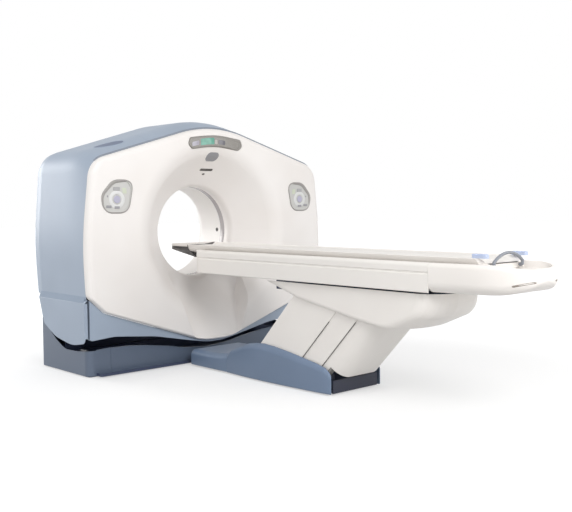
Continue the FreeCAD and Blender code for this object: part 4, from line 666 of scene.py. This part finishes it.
def pad(outline: Outline, back: float, front: float, edge: float, level: bool = False) -> Loft:
    """Plate with a rounded front edge.

    Args:
        outline: Counter-clockwise points.
        back: Y, or Z where it lies level, of its back.
        front: The same of its front.
        edge: Radius of the front edge.
        level: True lays it level, False stands it across the gantry.

    Returns:
        The loft.
    """
    out = copysign(edge, back - front)
    arc = [radians(turn) for turn in (30.0, 60.0, 90.0)]
    return stack(outline, [(0.0, back), (0.0, front + out)]
                 + [(edge * (1 - cos(a)), front + out * (1 - sin(a))) for a in arc], level)


# ---- Gantry fittings


@dataclass
class ControlPanelFittings:
    """Raised lip, dial ring and membrane keys on one of the egg-shaped control panels."""

    side: Side
    centre: Point2 = (0.881, 1.285)
    button_drop: float = 0.022
    dial_radius: float = 0.063
    face: float = -0.451          # floor of the panel's dish
    cover_face: float = -0.4545
    ring_rise: float = 0.0031     # the dark keys below sit on the CAD's ring

    def lip(self) -> None:
        """Soft raised rim round the dish, widest on its outer upper side; its darker grey and that
        widening are a painted shade crescent on the dish's upper wall.
        """
        shape = ((-0.096, -0.120, 0.090), (0.112, -0.120, 0.090), (0.130, 0.010, 0.090),
                 (0.035, 0.118, 0.110), (-0.142, 0.118, 0.070))
        outline = rounded([(self.centre[0] + u, self.centre[1] + v, r) for u, v, r in shape], 10)
        y = self.cover_face
        # the rim widens towards this upper side to draw the painted shade crescent
        upper = Vector((0.62, 0.78))
        middle = Vector(self.centre)
        share = [max(0.0, (Vector(p) - middle).normalized().dot(upper)) for p in outline]
        rings = []
        for inward, spread, depth in ((0.001, 0.0, y + 0.001), (0.001, 0.0, y - 0.002),
                                      (0.003, 0.0, y - 0.0045), (0.006, 0.002, y - 0.0055),
                                      (0.009, 0.008, y - 0.0035), (0.011, 0.016, y + 0.0015),
                                      (0.011, 0.016, self.face - 0.0003),
                                      (0.005, 0.0, self.face - 0.0003)):
            base = drawn_in(outline, inward)
            towards = [(middle - Vector(p)).normalized() for p in base]
            rings.append([Vector((u + t.x * spread * k, depth, v + t.y * spread * k))
                          for (u, v), t, k in zip(base, towards, share)])
        add_piece("panel_lip", [Loft(rings, False)], LIP_GREY_PAINTED_SHADE, Body.GANTRY,
                  mirror=self.side)

    def dial(self) -> None:
        """Pale stepped ring round the round button."""
        u, v = self.centre
        ring = [(u + self.dial_radius * c, v - self.button_drop + self.dial_radius * s)
                for c, s in circle(56)]
        steps = ((0.0, 0.0), (0.0, 0.0012), (0.003, 0.0022), (0.008, 0.0022), (0.011, 0.0036),
                 (0.022, 0.0036), (0.025, 0.0025), (0.0265, 0.0025), (0.0265, 0.0))
        rim = stack(ring, [(inward, self.face - rise) for inward, rise in steps], capped=False)
        add_piece("panel_dial", [rim], DIAL_PALE, Body.GANTRY, mirror=self.side)

    def keys(self) -> None:
        """Membrane keys: pale green above, dark ones beside and below the dial."""
        u, v = self.centre
        shape = [(u - 0.082, v + 0.020, 0.006), (u - 0.050, v + 0.020, 0.006),
                 (u - 0.042, v + 0.060, 0.008), (u - 0.078, v + 0.060, 0.010)]
        pale = pad(rounded(shape, 5), self.face, self.face - 0.0016, 0.001)
        add_piece("panel_key_pale", [pale], KEY_PALE_GREEN, Body.GANTRY,
                  mirror=self.side)
        dark = []
        for du, dv, half, rise, base in ((0.074, 0.0, 0.005, 0.007, 0.0),
                                         (0.0, -0.078, 0.021, 0.0085, self.ring_rise),
                                         (0.066, -0.072, 0.021, 0.0085, self.ring_rise)):
            key = plate((u + du - half, v + dv - rise), (u + du + half, v + dv + rise), 0.004, 4)
            dark.append(pad(key, self.face - base + 0.0002, self.face - base - 0.0012, 0.0008))
        add_piece("panel_keys_dark", dark, KEY_DARK, Body.GANTRY, mirror=self.side)

    def build(self) -> None:
        """Builds every fitting of this panel."""
        self.lip()
        self.dial()
        self.keys()


@dataclass
class DisplayWindows:
    """Lit and printed windows of the arched display over the bore."""

    face: float = -0.4593
    sag: float = 0.62             # how fast the arch falls towards its ends, per metre
    facet: float = 0.012          # longest straight piece of the arch

    def window(self, name: str, low: Point2, high: Point2, finish: Finish, radius: float,
               proud: float) -> None:
        """Adds one window that follows the display's arch.

        Args:
            name: Name of the piece.
            low: X and Z of its lower left corner, before the arch.
            high: X and Z of its upper right corner.
            finish: Its finish.
            radius: Corner radius.
            proud: How far it stands out.
        """
        flat = plate(low, high, radius)
        fine: Points = []
        for (u, v), (p, q) in zip(flat, flat[1:] + flat[:1]):
            parts = max(1, int(abs(p - u) / self.facet))
            fine += [(u + (p - u) * i / parts, v + (q - v) * i / parts) for i in range(parts)]
        pane = pad([(u, v - self.sag * u * u) for u, v in fine], self.face + 0.0002,
                   self.face - proud, 0.0004)
        add_piece(name, [pane], finish, Body.GANTRY)

    def build(self) -> None:
        """Adds the windows from left to right."""
        for name, low, high, finish, radius, proud in (
                ("lavender", (-0.226, 1.690), (-0.162, 1.722), LCD_LAVENDER, 0.010, 0.0008),
                ("green", (-0.146, 1.682), (-0.018, 1.732), LCD_GREEN, 0.008, 0.0010),
                ("divider", (-0.012, 1.684), (0.012, 1.718), FILM_PALE, 0.006, 0.0006),
                ("dark", (0.022, 1.684), (0.086, 1.718), LCD_DARK, 0.008, 0.0010),
                ("panel", (0.100, 1.692), (0.214, 1.732), BEZEL_GREY, 0.010, 0.0006)):
            self.window(f"display_{name}", low, high, finish, radius, proud)


@dataclass
class BoreFittings:
    """Grey film over the scan gap and the pointer lens under the laser slit."""

    radius: float = 0.350
    span: Point2 = (-0.106, -0.058)
    lens_at: Place = (0.014, -0.270, 1.462)
    lens_half: Point2 = (0.013, 0.008)

    def film(self) -> None:
        """Thin sleeve on the bore wall over the scan gap."""
        near, far = self.span
        rings = [[Vector(((self.radius - inset) * c, depth,
                          AXIS_HEIGHT + (self.radius - inset) * s)) for c, s in circle(160)]
                 for depth, inset in ((near, 0.0001), (near + 0.003, 0.0007),
                                      (far - 0.003, 0.0007), (far, 0.0001), (far, -0.0001),
                                      (near, -0.0001))]
        add_piece("scan_gap_film", [Loft(rings, False)], RING_FILM, Body.GANTRY)

    def lens(self) -> None:
        """Small domed lens on the sloping mouth, under the slit."""
        out = Vector((0.0, -1.0, -1.0)).normalized()
        across = Vector((1.0, 0.0, 0.0))
        up = out.cross(across)
        wide, high = self.lens_half
        rings = [[Vector(self.lens_at) + out * rise + across * (wide * share * c)
                  + up * (high * share * s) for c, s in circle(28)]
                 for share, rise in ((1.0, -0.002), (1.0, 0.0015), (0.86, 0.003), (0.6, 0.0042),
                                     (0.25, 0.0048))]
        add_piece("pointer_lens", [Loft(rings)], LENS_DARK, Body.GANTRY)

    def build(self) -> None:
        """Builds both."""
        self.film()
        self.lens()


@dataclass
class ShoulderHandhold:
    """Long oval handhold on the sloping shoulder of a side cover."""

    side: Side
    centre: Point2 = (0.806, -0.235)
    half: Point2 = (0.118, 0.062)
    turn: float = 22.0

    def ring(self, share: float, lift: float) -> Ring:
        """Ring of points over the cover's skin.

        Args:
            share: Distance from the middle, as a part of the oval.
            lift: Height over the skin.

        Returns:
            The points.
        """
        a = radians(self.turn)
        points = []
        for c, s in circle(56):
            u = self.half[0] * share * c
            v = self.half[1] * share * s
            x = self.centre[0] + u * cos(a) + v * sin(a)
            y = self.centre[1] + u * sin(a) - v * cos(a)
            place, normal = struck((f"side_cover_{self.side.word}",),
                                   Vector((x * self.side.value, y, SKY)), DOWN)
            points.append(place + normal * lift)
        return points

    def build(self) -> None:
        """A rolled rim, and a cup inside it painted a deeper blue as the recess's shade."""
        for part, finish, capped, section in (
                ("rim", COVER_BLUE, False, ((1.0, -0.0005), (0.99, 0.0015), (0.95, 0.003),
                                            (0.90, 0.0015), (0.88, -0.0005))),
                ("cup", SHADOW_BLUE, True, ((0.90, -0.001), (0.90, 0.0012), (0.7, 0.0008),
                                            (0.4, 0.0006), (0.1, 0.0006)))):
            rings = [self.ring(share, lift) for share, lift in section]
            add_piece(f"handhold_{part}_{self.side.word}", [Loft(rings, capped)], finish,
                      Body.GANTRY)


@dataclass
class CoverSeals:
    """Thin moulded seals in the joints of the gantry's covers."""

    crest_y: float = -0.4045
    crest_reach: float = 1.03
    crest_steps: int = 120
    skirt_span: Point2 = (-0.395, 0.252)
    skirt_z: Point2 = (0.5497, 0.592)
    skirt_steps: int = 40
    outside: float = 1.4          # beyond the covers, where rays inwards start

    def crest_seal(self) -> None:
        """Bead over the joint between the white front cover and the blue covers on top."""
        nodes = ("top_cover", "side_cover_right", "side_cover_left")
        rings = []
        for i in range(self.crest_steps + 1):
            x = self.crest_reach * (-1 + 2 * i / self.crest_steps)
            ground, _ = struck(nodes, Vector((x, self.crest_y, SKY)), DOWN)
            rings.append([ground + Vector((0.0, dy, dz)) for dy, dz in
                          ((-0.006, -0.003), (-0.0055, 0.007), (-0.003, 0.0100), (0.0, 0.0110),
                           (0.003, 0.0100), (0.0055, 0.007), (0.006, -0.003))])
        add_piece("crest_seal", [Loft(rings)], SEAL_BLUE, Body.GANTRY, 50.0)

    def skirt_seal(self, side: Side) -> None:
        """Coved strip over the step between a side cover and the skirt under it, a shade darker than
        the cover: painted shade that keeps its upward face from showing lighter.

        Args:
            side: The covers' side.
        """
        across = Vector((side.value, 0.0, 0.0))
        low, high = self.skirt_z
        near, far = self.skirt_span
        rings = []
        for i in range(self.skirt_steps + 1):
            y = near + (far - near) * i / self.skirt_steps
            lower, _ = struck((f"side_skirt_{side.word}",),
                              Vector((self.outside * side.value, y, low)), -across)
            upper, _ = struck((f"side_cover_{side.word}",),
                              Vector((self.outside * side.value, y, high)), -across)
            start, end = lower + across * 0.0006, upper + across * 0.0006
            rings.append([start.lerp(end, k / 6) for k in range(7)]
                         + [end - across * 0.006, start - across * 0.006])
        add_piece(f"skirt_seal_{side.word}", [Loft(rings)], SKIRT_SEAL_PAINTED_SHADE, Body.GANTRY,
                  50.0)

    def build(self) -> None:
        """Builds the crest's seal and both skirts'."""
        self.crest_seal()
        for side in Side:
            self.skirt_seal(side)


# ---- Base


@dataclass
class PlinthSheets:
    """Sheets that close the plinth behind and below, with rolled edges and ribs."""

    half: float = 0.992
    low: float = 0.008
    high: float = 0.186
    back: float = 0.3945
    thick: float = 0.003
    pan_reach: Point2 = (-0.366, 0.378)
    pan_top: float = 0.018
    swages: tuple[float, ...] = (-0.7, -0.35, 0.0, 0.35, 0.7)
    ribs: Place = (-0.62, 0.0, 0.62)

    def floor_pan(self) -> None:
        """Pressed pan under the base frame, with an upturned edge and long swages."""
        near, far = self.pan_reach
        top = self.pan_top
        half = self.half - 0.010
        lofts = [stack(plate((-half, near), (half, far), 0.02),
                       ((0.0, 0.009), (0.0, top + 0.012), (0.002, top + 0.012), (0.004, top)),
                       level=True)]
        lofts += [stack(plate((x - 0.03, near + 0.08), (x + 0.03, far - 0.08), 0.02),
                        ((0.0, top - 0.001), (0.0, top), (0.006, top + 0.004)), level=True)
                  for x in self.swages]
        add_piece("plinth_floor_pan", lofts, FRAME_STEEL, Body.GROUND)

    def rear_cover(self) -> None:
        """Folded rear panel with three shallow ribs."""
        back, half = self.back, self.half
        lofts = [stack(rounded([(-half, self.low, 0.004), (half, self.low, 0.004),
                                (half, self.high, 0.02), (-half, self.high, 0.02)], 6),
                       ((0.003, back - 0.014), (0.0, back - 0.014), (0.0, back - 0.003),
                        (0.003, back), (0.006, back), (0.006, back - self.thick)))]
        lofts += [stack(plate((x - 0.22, 0.05), (x + 0.22, 0.14), 0.01),
                        ((0.0, back - 0.0035), (0.0, back - 0.0015), (0.003, back)))
                  for x in self.ribs]
        add_piece("plinth_rear_cover", lofts, PLINTH_SLATE, Body.GROUND)

    def build(self) -> None:
        """Builds the pan and the rear panel."""
        self.floor_pan()
        self.rear_cover()


# ---- Table fittings


@dataclass
class CradleFittings:
    """Grip pads, foot edge strip and the pale edge of the cradle's tip."""

    half: float = 0.215
    pad_x: Point2 = (0.1765, 0.2095)
    pad_start: float = -3.036
    pad_pitch: float = 0.0310
    tip_centre: Point2 = (-0.125, -0.185)
    tip_radius: float = 0.090

    def grip_pads(self) -> None:
        """Soft pads with two shallow grooves on the two grips."""
        starts = [self.pad_start + self.pad_pitch * i for i in range(3)]
        pads = [pad(plate((self.pad_x[0], y), (self.pad_x[1], y + 0.0300), 0.007), 0.9371, 0.9450,
                    0.005, level=True) for y in starts]
        for side in Side:
            add_piece("grip_pad", pads, GRIP_BLUE, Body.CRADLE, mirror=side)

    def foot_strip(self) -> None:
        """Dark wear strip along the cradle's foot edge."""
        strip = stack(plate((-0.148, -3.0095), (0.148, -2.998), 0.003, 4),
                      ((0.0, 0.8838), (0.0, 0.8885), (0.0015, 0.8895)), level=True)
        add_piece("foot_wear_strip", [strip], DARK_RUBBER_AND_SEAM_SHADE, Body.CRADLE)

    def tip_edge(self) -> None:
        """Pale moulded edge that carries the cradle's side line round the dark tip."""
        path: Points = [(-self.half, -0.360)]
        for i in range(13):
            a = radians(180.0 - 7.5 * i)
            path.append((self.tip_centre[0] + self.tip_radius * cos(a),
                         self.tip_centre[1] + self.tip_radius * sin(a)))
        path += [(-u, v) for u, v in reversed(path)]
        rings = []
        for i, (u, v) in enumerate(path):
            after = Vector(path[min(i + 1, len(path) - 1)])
            along = (after - Vector(path[max(i - 1, 0)])).normalized()
            rings.append([Vector((u - along.y * d, v + along.x * d, z)) for d, z in
                          ((-0.0005, 0.904), (0.0020, 0.9055), (0.0024, 0.913), (0.0020, 0.9195),
                           (-0.0005, 0.9212))])
        add_piece("tip_pale_edge", [Loft(rings)], CRADLE_SKIN, Body.CRADLE)

    def build(self) -> None:
        """Builds every fitting of the cradle."""
        self.grip_pads()
        self.foot_strip()
        self.tip_edge()


@dataclass
class FootEnd:
    """Rounded foot end of the support: a blunt nose round the cradle's bay, with grip slots drawn in
    painted shade.
    """

    start: float = -2.7035
    nose: float = -3.2830
    half: float = 0.2785
    low: float = 0.7200
    high: float = 0.8870
    bay_half: float = 0.228
    bay_end: float = -3.236
    bay_round: float = 0.150
    bay_floor: float = 0.848
    tail_from: float = 0.35       # share of the length after which the plan narrows
    tail_curve: Point2 = (3.2, 0.4167)
    tuck_from: float = 0.6        # share after which the nose gets thinner
    tuck_low: float = 0.080       # how far the underside rises to the tip
    tuck_high: float = 0.062      # how far the top falls to it
    drift: Point2 = (0.010, 0.006)
    slot_ends: tuple[Point2, Point2] = ((-3.205, 0.7825), (-3.268, 0.7985))

    def sizes(self, y: float) -> Place:
        """Half width, lowest and highest point of the section.

        Args:
            y: Depth.

        Returns:
            The three lengths.
        """
        along = min((self.start - y) / (self.start - self.nose), 0.9992)
        tail = max(0.0, (along - self.tail_from) / (1 - self.tail_from))
        tuck = max(0.0, (along - self.tuck_from) / (1 - self.tuck_from))
        sharp, blunt = self.tail_curve
        return (self.half * (1 - tail ** sharp) ** blunt,
                self.low + self.drift[0] * along + self.tuck_low * (1 - sqrt(1 - tuck ** 2.6)),
                self.high + self.drift[1] * along - self.tuck_high * (1 - sqrt(1 - tuck ** 2)))

    def rounding(self, y: float) -> Point2:
        """Radii of the lower and the upper edge at a depth."""
        half, low, high = self.sizes(y)
        return (min(0.060, (high - low) * 0.45, half * 0.8),
                min(0.026, (high - low) * 0.4, half * 0.6))

    def side_at(self, y: float, z: float) -> float:
        """Distance of the side's skin from the middle.

        Args:
            y: Depth.
            z: Height.

        Returns:
            The distance.
        """
        half, low, _ = self.sizes(y)
        lower, _ = self.rounding(y)
        under = max(0.0, low + lower - z)
        return half - lower + sqrt(lower ** 2 - min(under, lower) ** 2)

    def section(self, y: float, bay: float, floor: float) -> Ring:
        """Trough-shaped section.

        Args:
            y: Depth.
            bay: Half width of the bay.
            floor: Height of the bay's floor.

        Returns:
            Points of the ring.
        """
        half, low, high = self.sizes(y)
        lower, upper = self.rounding(y)
        edge = min(0.005, max(high - floor, 0.0004) / 2)
        bay = min(bay, half - upper - edge)
        right: Points = [(0.0, low), (half * 0.4, low)]
        for i in range(9):
            a = radians(-90 + 90 * i / 8)
            right.append((half - lower + lower * cos(a), low + lower + lower * sin(a)))
        for i in range(7):
            a = radians(90 * i / 6)
            right.append((half - upper + upper * cos(a), high - upper + upper * sin(a)))
        right += [(bay + edge, high), (bay + edge * 0.3, high - edge * 0.3), (bay, high - edge),
                  (bay, floor + edge), (bay - edge * 0.3, floor + edge * 0.3),
                  (bay - edge, floor), (bay * 0.5, floor)]
        points = right + [(0.0, floor)] + [(-x, z) for x, z in reversed(right[1:])]
        return [Vector((x, y, z)) for x, z in points]

    def shell(self) -> None:
        """Lofts the sections from the support to the nose."""
        straight = self.bay_end + self.bay_round - self.start
        rings = [self.section(self.start + straight * i / 16, self.bay_half, self.bay_floor)
                 for i in range(17)]
        for i in range(1, 19):
            turn = radians(5.0 * i)
            y = self.bay_end + self.bay_round * (1 - sin(turn)) + (0.0002 if i > 17 else 0.0)
            rings.append(self.section(y, self.bay_half - self.bay_round * (1 - cos(turn)),
                                      self.bay_floor))
        for i in range(12):
            y = self.bay_end - 0.0004 + (self.nose - self.bay_end + 0.0004) * sin(
                radians(90.0 * i / 11))
            rings.append(self.section(y, self.bay_half - self.bay_round, self.sizes(y)[2] - 0.0004))
        shell = add_piece("foot_end_shell", [Loft(rings)], TABLE_WHITE, Body.SUPPORT,
                          40.0)
        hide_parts("foot_end_cover")

    def grip_slots(self) -> None:
        """Slots to hold the foot end by, one on each side of the nose: low dark pads on the skin
        whose taupe is painted shade of the slots' hollows.
        """
        a, b = (Vector(end) for end in self.slot_ends)
        along = (b - a).normalized()
        across = Vector((-along.y, along.x))
        for side in Side:
            rings = []
            for width, lift in ((0.0050, -0.001), (0.0050, 0.0006), (0.0042, 0.0011),
                                (0.0025, 0.0008)):
                ring = []
                for end, other, first in ((b, a, -90.0), (a, b, 90.0)):
                    turns = [radians(first + 30.0 * k) for k in range(7)]
                    ring += [end + along * (width * cos(turn))
                             + across * (width * sin(turn)) for turn in turns]
                    spot = ring[-1]
                    goal = other + across * (width * sin(turns[-1]))
                    ring += [spot.lerp(goal, j / 12) for j in range(1, 12)]
                rings.append([Vector((side.value * (self.side_at(p.x, p.y) + lift), p.x, p.y))
                              for p in ring])
            add_piece(f"foot_grip_slot_{side.word}", [Loft(rings)], SLOT_PAINTED_SHADE, Body.SUPPORT)

    def build(self) -> None:
        """Builds the nose and its slots."""
        self.shell()
        self.grip_slots()


@dataclass
class LiftSeals:
    """Dark rubber lips on the sliding edges of the nested lift covers; their dark tone is painted
    shade of the seams between the covers.
    """

    slope: float = 46.6           # degrees; lean of the lift legs at rest
    pivot_height: float = 0.115
    radius: float = 0.0025
    steps: int = 24
    front_pivot: float = -1.385
    middle_pivot: float = -1.640

    def lip(self, name: str, body: Body, pivot_y: float, edge: float, span: Point2,
            sides: Point2) -> None:
        """Adds one lip on each side of the lift.

        Args:
            name: Name of the piece.
            body: CAD body that carries it.
            pivot_y: Y of the cover's lower pivot.
            edge: Distance of the edge from the pivot line.
            span: Start and end along the leg.
            sides: X of the inner and the outer side of the lip.
        """
        a = radians(self.slope)
        middle, half = (sides[0] + sides[1]) / 2, (sides[1] - sides[0]) / 2
        lofts = []
        for side in Side:
            rings = []
            for i in range(self.steps + 1):
                up = span[0] + (span[1] - span[0]) * i / self.steps
                off = [(middle + half * c, edge + self.radius * s) for c, s in circle(8)]
                rings.append([Vector((side.value * x, pivot_y - up * cos(a) + t * sin(a),
                                      self.pivot_height + up * sin(a) + t * cos(a)))
                              for x, t in off])
            lofts.append(Loft(rings))
        add_piece(name, lofts, DARK_RUBBER_AND_SEAM_SHADE, body, 60.0)

    def build(self) -> None:
        """Lips of the front and the middle covers."""
        self.lip("front_cover_seal_and_seam_shade", Body.FRONT_LEG, self.front_pivot, -0.1125, (0.18, 0.60),
                 (0.2225, 0.2265))
        self.lip("middle_cover_seal", Body.MIDDLE_LINK, self.middle_pivot, -0.0785,
                 (0.15, 0.59), (0.2165, 0.2205))


@dataclass
class CradleMattress:
    """Patient mattress in the cradle's dish: crowned panels, sewn channels and a welted edge."""

    node: str = "cradle_mat"
    panels: int = 6
    rows_per_panel: int = 22
    columns: int = 36
    dish_half: float = 0.150      # where the dish's floor meets its sloping sides
    dish_slope: float = 0.66
    dish_round: float = 0.090
    dish_floor: float = 0.8843
    half_width: float = 0.180
    crown: float = 0.026
    fill_share: float = 0.62      # part of the crown that stands after the foam has settled
    channel: float = 0.009
    edge_thick: float = 0.011
    side_share: float = 0.78      # height of the crown at the sides, as a part of the middle's
    seam_pull: float = 0.004      # how far each seam draws the sides in
    end_pull: float = 0.012       # the same at the two ends
    ripple: float = 0.0012

    def floor_at(self, x: float) -> float:
        """Height of the dish under the mattress.

        Args:
            x: Distance from the dish's middle.

        Returns:
            The height.
        """
        angle = atan(self.dish_slope)
        reach = self.dish_round * tan(angle / 2)
        run = abs(x) - (self.dish_half - reach)
        if run <= 0:
            return self.dish_floor
        if run < reach * (1 + cos(angle)):
            return self.dish_floor + self.dish_round - sqrt(self.dish_round ** 2 - run ** 2)
        return self.dish_floor + (abs(x) - self.dish_half) * self.dish_slope

    def thickness(self, across: float, along: float) -> float:
        """Pad thickness.

        Args:
            across: From -1 at the left edge to 1 at the right.
            along: Position in panels from the foot end.

        Returns:
            Thickness in metres.
        """
        pillow = sin(pi * (along % 1.0)) ** 0.45 if along % 1.0 > 0 else 0.0
        full = self.crown * (self.side_share + (1 - self.side_share) * (1 - across ** 2))
        groove = self.crown - self.channel
        return max((1 - abs(across) ** 5) ** 0.5 * (groove + (full - groove) * pillow), 0.0)

    def row(self, y: float, along: float, end: float) -> Ring:
        """Closed ring across the mattress, first along the dish and then back over the top.

        Args:
            y: Depth.
            along: Position in panels from the foot end.
            end: 0 at either end of the mattress, 1 where it is full.

        Returns:
            Points of the ring.
        """
        pull = self.seam_pull * (1 - abs(sin(pi * along)))
        half = self.half_width - pull - self.end_pull * (1 - end)
        ring = []
        for k in range(2 * self.columns):
            upper = k >= self.columns
            share = (k % self.columns) / (self.columns - 1)
            across = sin((-1 + 2 * (1 - share if upper else share)) * pi / 2)
            x = across * half
            thick = (self.edge_thick * end + self.thickness(across, along) * end * self.fill_share)
            ripple = noise.noise(Vector((x * 14, y * 9, 0.0))) * self.ripple
            ring.append(Vector((x, y, self.floor_at(x) + (thick + ripple * end if upper else 0.0))))
        return ring

    def build(self) -> bpy.types.Object:
        """Returns:
            The mattress object.
        """
        low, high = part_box(self.node)
        rows = self.panels * self.rows_per_panel
        rings = []
        for i in range(rows + 1):
            into = min(i, rows - i) / self.rows_per_panel
            end = sqrt(max(1 - max(1 - into * 5.0, 0.0) ** 2, 0.0))
            rings.append(self.row(low.y + (high.y - low.y) * i / rows, i / self.rows_per_panel,
                                  end))
        mattress = add_piece("cradle_mattress", [Loft(rings)], MAT_VINYL, Body.CRADLE,
                             60.0, weld=0.0002)
        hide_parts(self.node)
        return mattress


# ---- Studio


@dataclass
class Studio:
    """Pale floor, soft light and the camera at the photograph's place."""

    camera_at: Place = (-4.075, -5.661, 1.219)
    yaw: float = 42.65            # from +Y towards +X
    pitch: float = -3.45
    roll: float = -0.456
    lens_mm: float = 53.81
    sensor_mm: float = 36.0
    floor_half: float = 40.0
    floor_middle: Place = (-0.3, -1.6, 0.0)
    glow: Point2 = (0.46, 0.84)   # the floor's own light near the object and far away
    glow_reach: Point2 = (1.2, 5.5)
    dome: float = 0.55
    aim: Place = (0.0, -0.8, 0.9)

    def place_camera(self) -> None:
        """Makes the camera and hands it to the scene."""
        data = bpy.data.cameras.new("camera")
        data.lens = self.lens_mm
        data.sensor_width = self.sensor_mm
        data.sensor_fit = "HORIZONTAL"
        data.clip_end = 200.0
        camera = put("camera", data)
        turn = (Matrix.Rotation(radians(-self.yaw), 4, "Z")
                @ Matrix.Rotation(radians(90 + self.pitch), 4, "X")
                @ Matrix.Rotation(radians(self.roll), 4, "Z"))
        camera.matrix_world = Matrix.Translation(self.camera_at) @ turn
        bpy.context.scene.camera = camera

    def seen_directly(self, add: Adder) -> Node:
        """Mask that is 1 for rays from the camera or through a mirror or glass.

        Args:
            add: Adds a node to the tree.

        Returns:
            The mask's node.
        """
        path = add("LightPath")
        seen = add("Math", {0: path.outputs["Is Camera Ray"], 1: path.outputs["Is Glossy Ray"]},
                   operation="MAXIMUM")
        return add("Math", {0: seen, 1: path.outputs["Is Transmission Ray"]}, operation="MAXIMUM")

    def floor_lift(self, add: Adder) -> Node:
        """Glow of the floor where it is seen directly, stronger where the lamps don't reach.

        Args:
            add: Adds a node to the tree.

        Returns:
            The strength's node.
        """
        away = add("VectorMath", {0: add("TexCoord").outputs["Object"]}, {1: self.floor_middle},
                   operation="DISTANCE")
        glow = add("MapRange", {"Value": away.outputs["Value"]},
                   {"From Min": self.glow_reach[0], "From Max": self.glow_reach[1],
                    "To Min": self.glow[0], "To Max": self.glow[1]},
                   interpolation_type="SMOOTHSTEP")
        return add("Math", {0: self.seen_directly(add), 1: glow}, operation="MULTIPLY")

    def lay_floor(self) -> None:
        """A wide pale floor that shows white to the camera but keeps the shadow."""
        mesh = bmesh.new()
        bmesh.ops.create_grid(mesh, x_segments=4, y_segments=4, size=self.floor_half)
        data = bpy.data.meshes.new("floor")
        mesh.to_mesh(data)
        mesh.free()
        material = bpy.data.materials.new("floor_pale")
        add = fresh_tree(material)
        matte = add("BsdfDiffuse", None, {"Color": linear("#C4C4C4")})
        lift = add("Emission", {"Strength": self.floor_lift(add)}, {"Color": linear("#FFFFFF")})
        add("OutputMaterial", {"Surface": add("AddShader", {0: matte, 1: lift})})
        data.materials.append(material)
        floor = put("floor", data)

    def light_world(self) -> None:
        """A soft even dome that shows as white."""
        world = bpy.data.worlds.new("world")
        bpy.context.scene.world = world
        add = fresh_tree(world)
        strength = add("MapRange", {"Value": self.seen_directly(add)},
                       {"To Min": self.dome, "To Max": 1.0})
        ground = add("Background", {"Strength": strength}, {"Color": linear("#FFFFFF")})
        add("OutputWorld", {"Surface": ground})

    def hang_lamp(self, name: str, place: Place, size: float, power: float) -> None:
        """Adds a square soft box that faces the middle of the scanner.

        Args:
            name: Name of the lamp.
            place: Where it hangs.
            size: Length of its side.
            power: Watts.
        """
        data = bpy.data.lights.new(name, "AREA")
        data.size = size
        data.energy = power
        lamp = put(name, data)
        lamp.location = place
        away = Vector(self.aim) - Vector(place)
        lamp.rotation_euler = away.to_track_quat("-Z", "Y").to_euler()

    def build(self) -> None:
        """Sets the whole studio up."""
        bpy.context.scene.view_settings.view_transform = "Standard"
        self.place_camera()
        self.lay_floor()
        self.light_world()
        self.hang_lamp("key_soft_box", (-2.4, -7.6, 4.8), 3.0, 280.0)
        self.hang_lamp("side_soft_box", (-7.4, -2.6, 3.2), 4.0, 96.0)
        self.hang_lamp("fill_soft_box", (3.0, -7.0, 2.2), 4.0, 84.0)
        self.hang_lamp("rear_soft_box", (-2.6, 6.4, 2.6), 3.0, 250.0)
        LOG.info("studio ready")


def main() -> None:
    """Builds every sub-assembly in order."""
    logging.basicConfig(level=logging.INFO, format="%(name)s: %(message)s")
    dress_cad_nodes()
    for side in Side:
        ControlPanelFittings(side).build()
        ShoulderHandhold(side).build()
    CoverSeals().build()
    DisplayWindows().build()
    BoreFittings().build()
    PlinthSheets().build()
    CradleFittings().build()
    FootEnd().build()
    LiftSeals().build()
    CradleMattress().build()
    Studio().build()


if __name__ == "__main__":
    main()
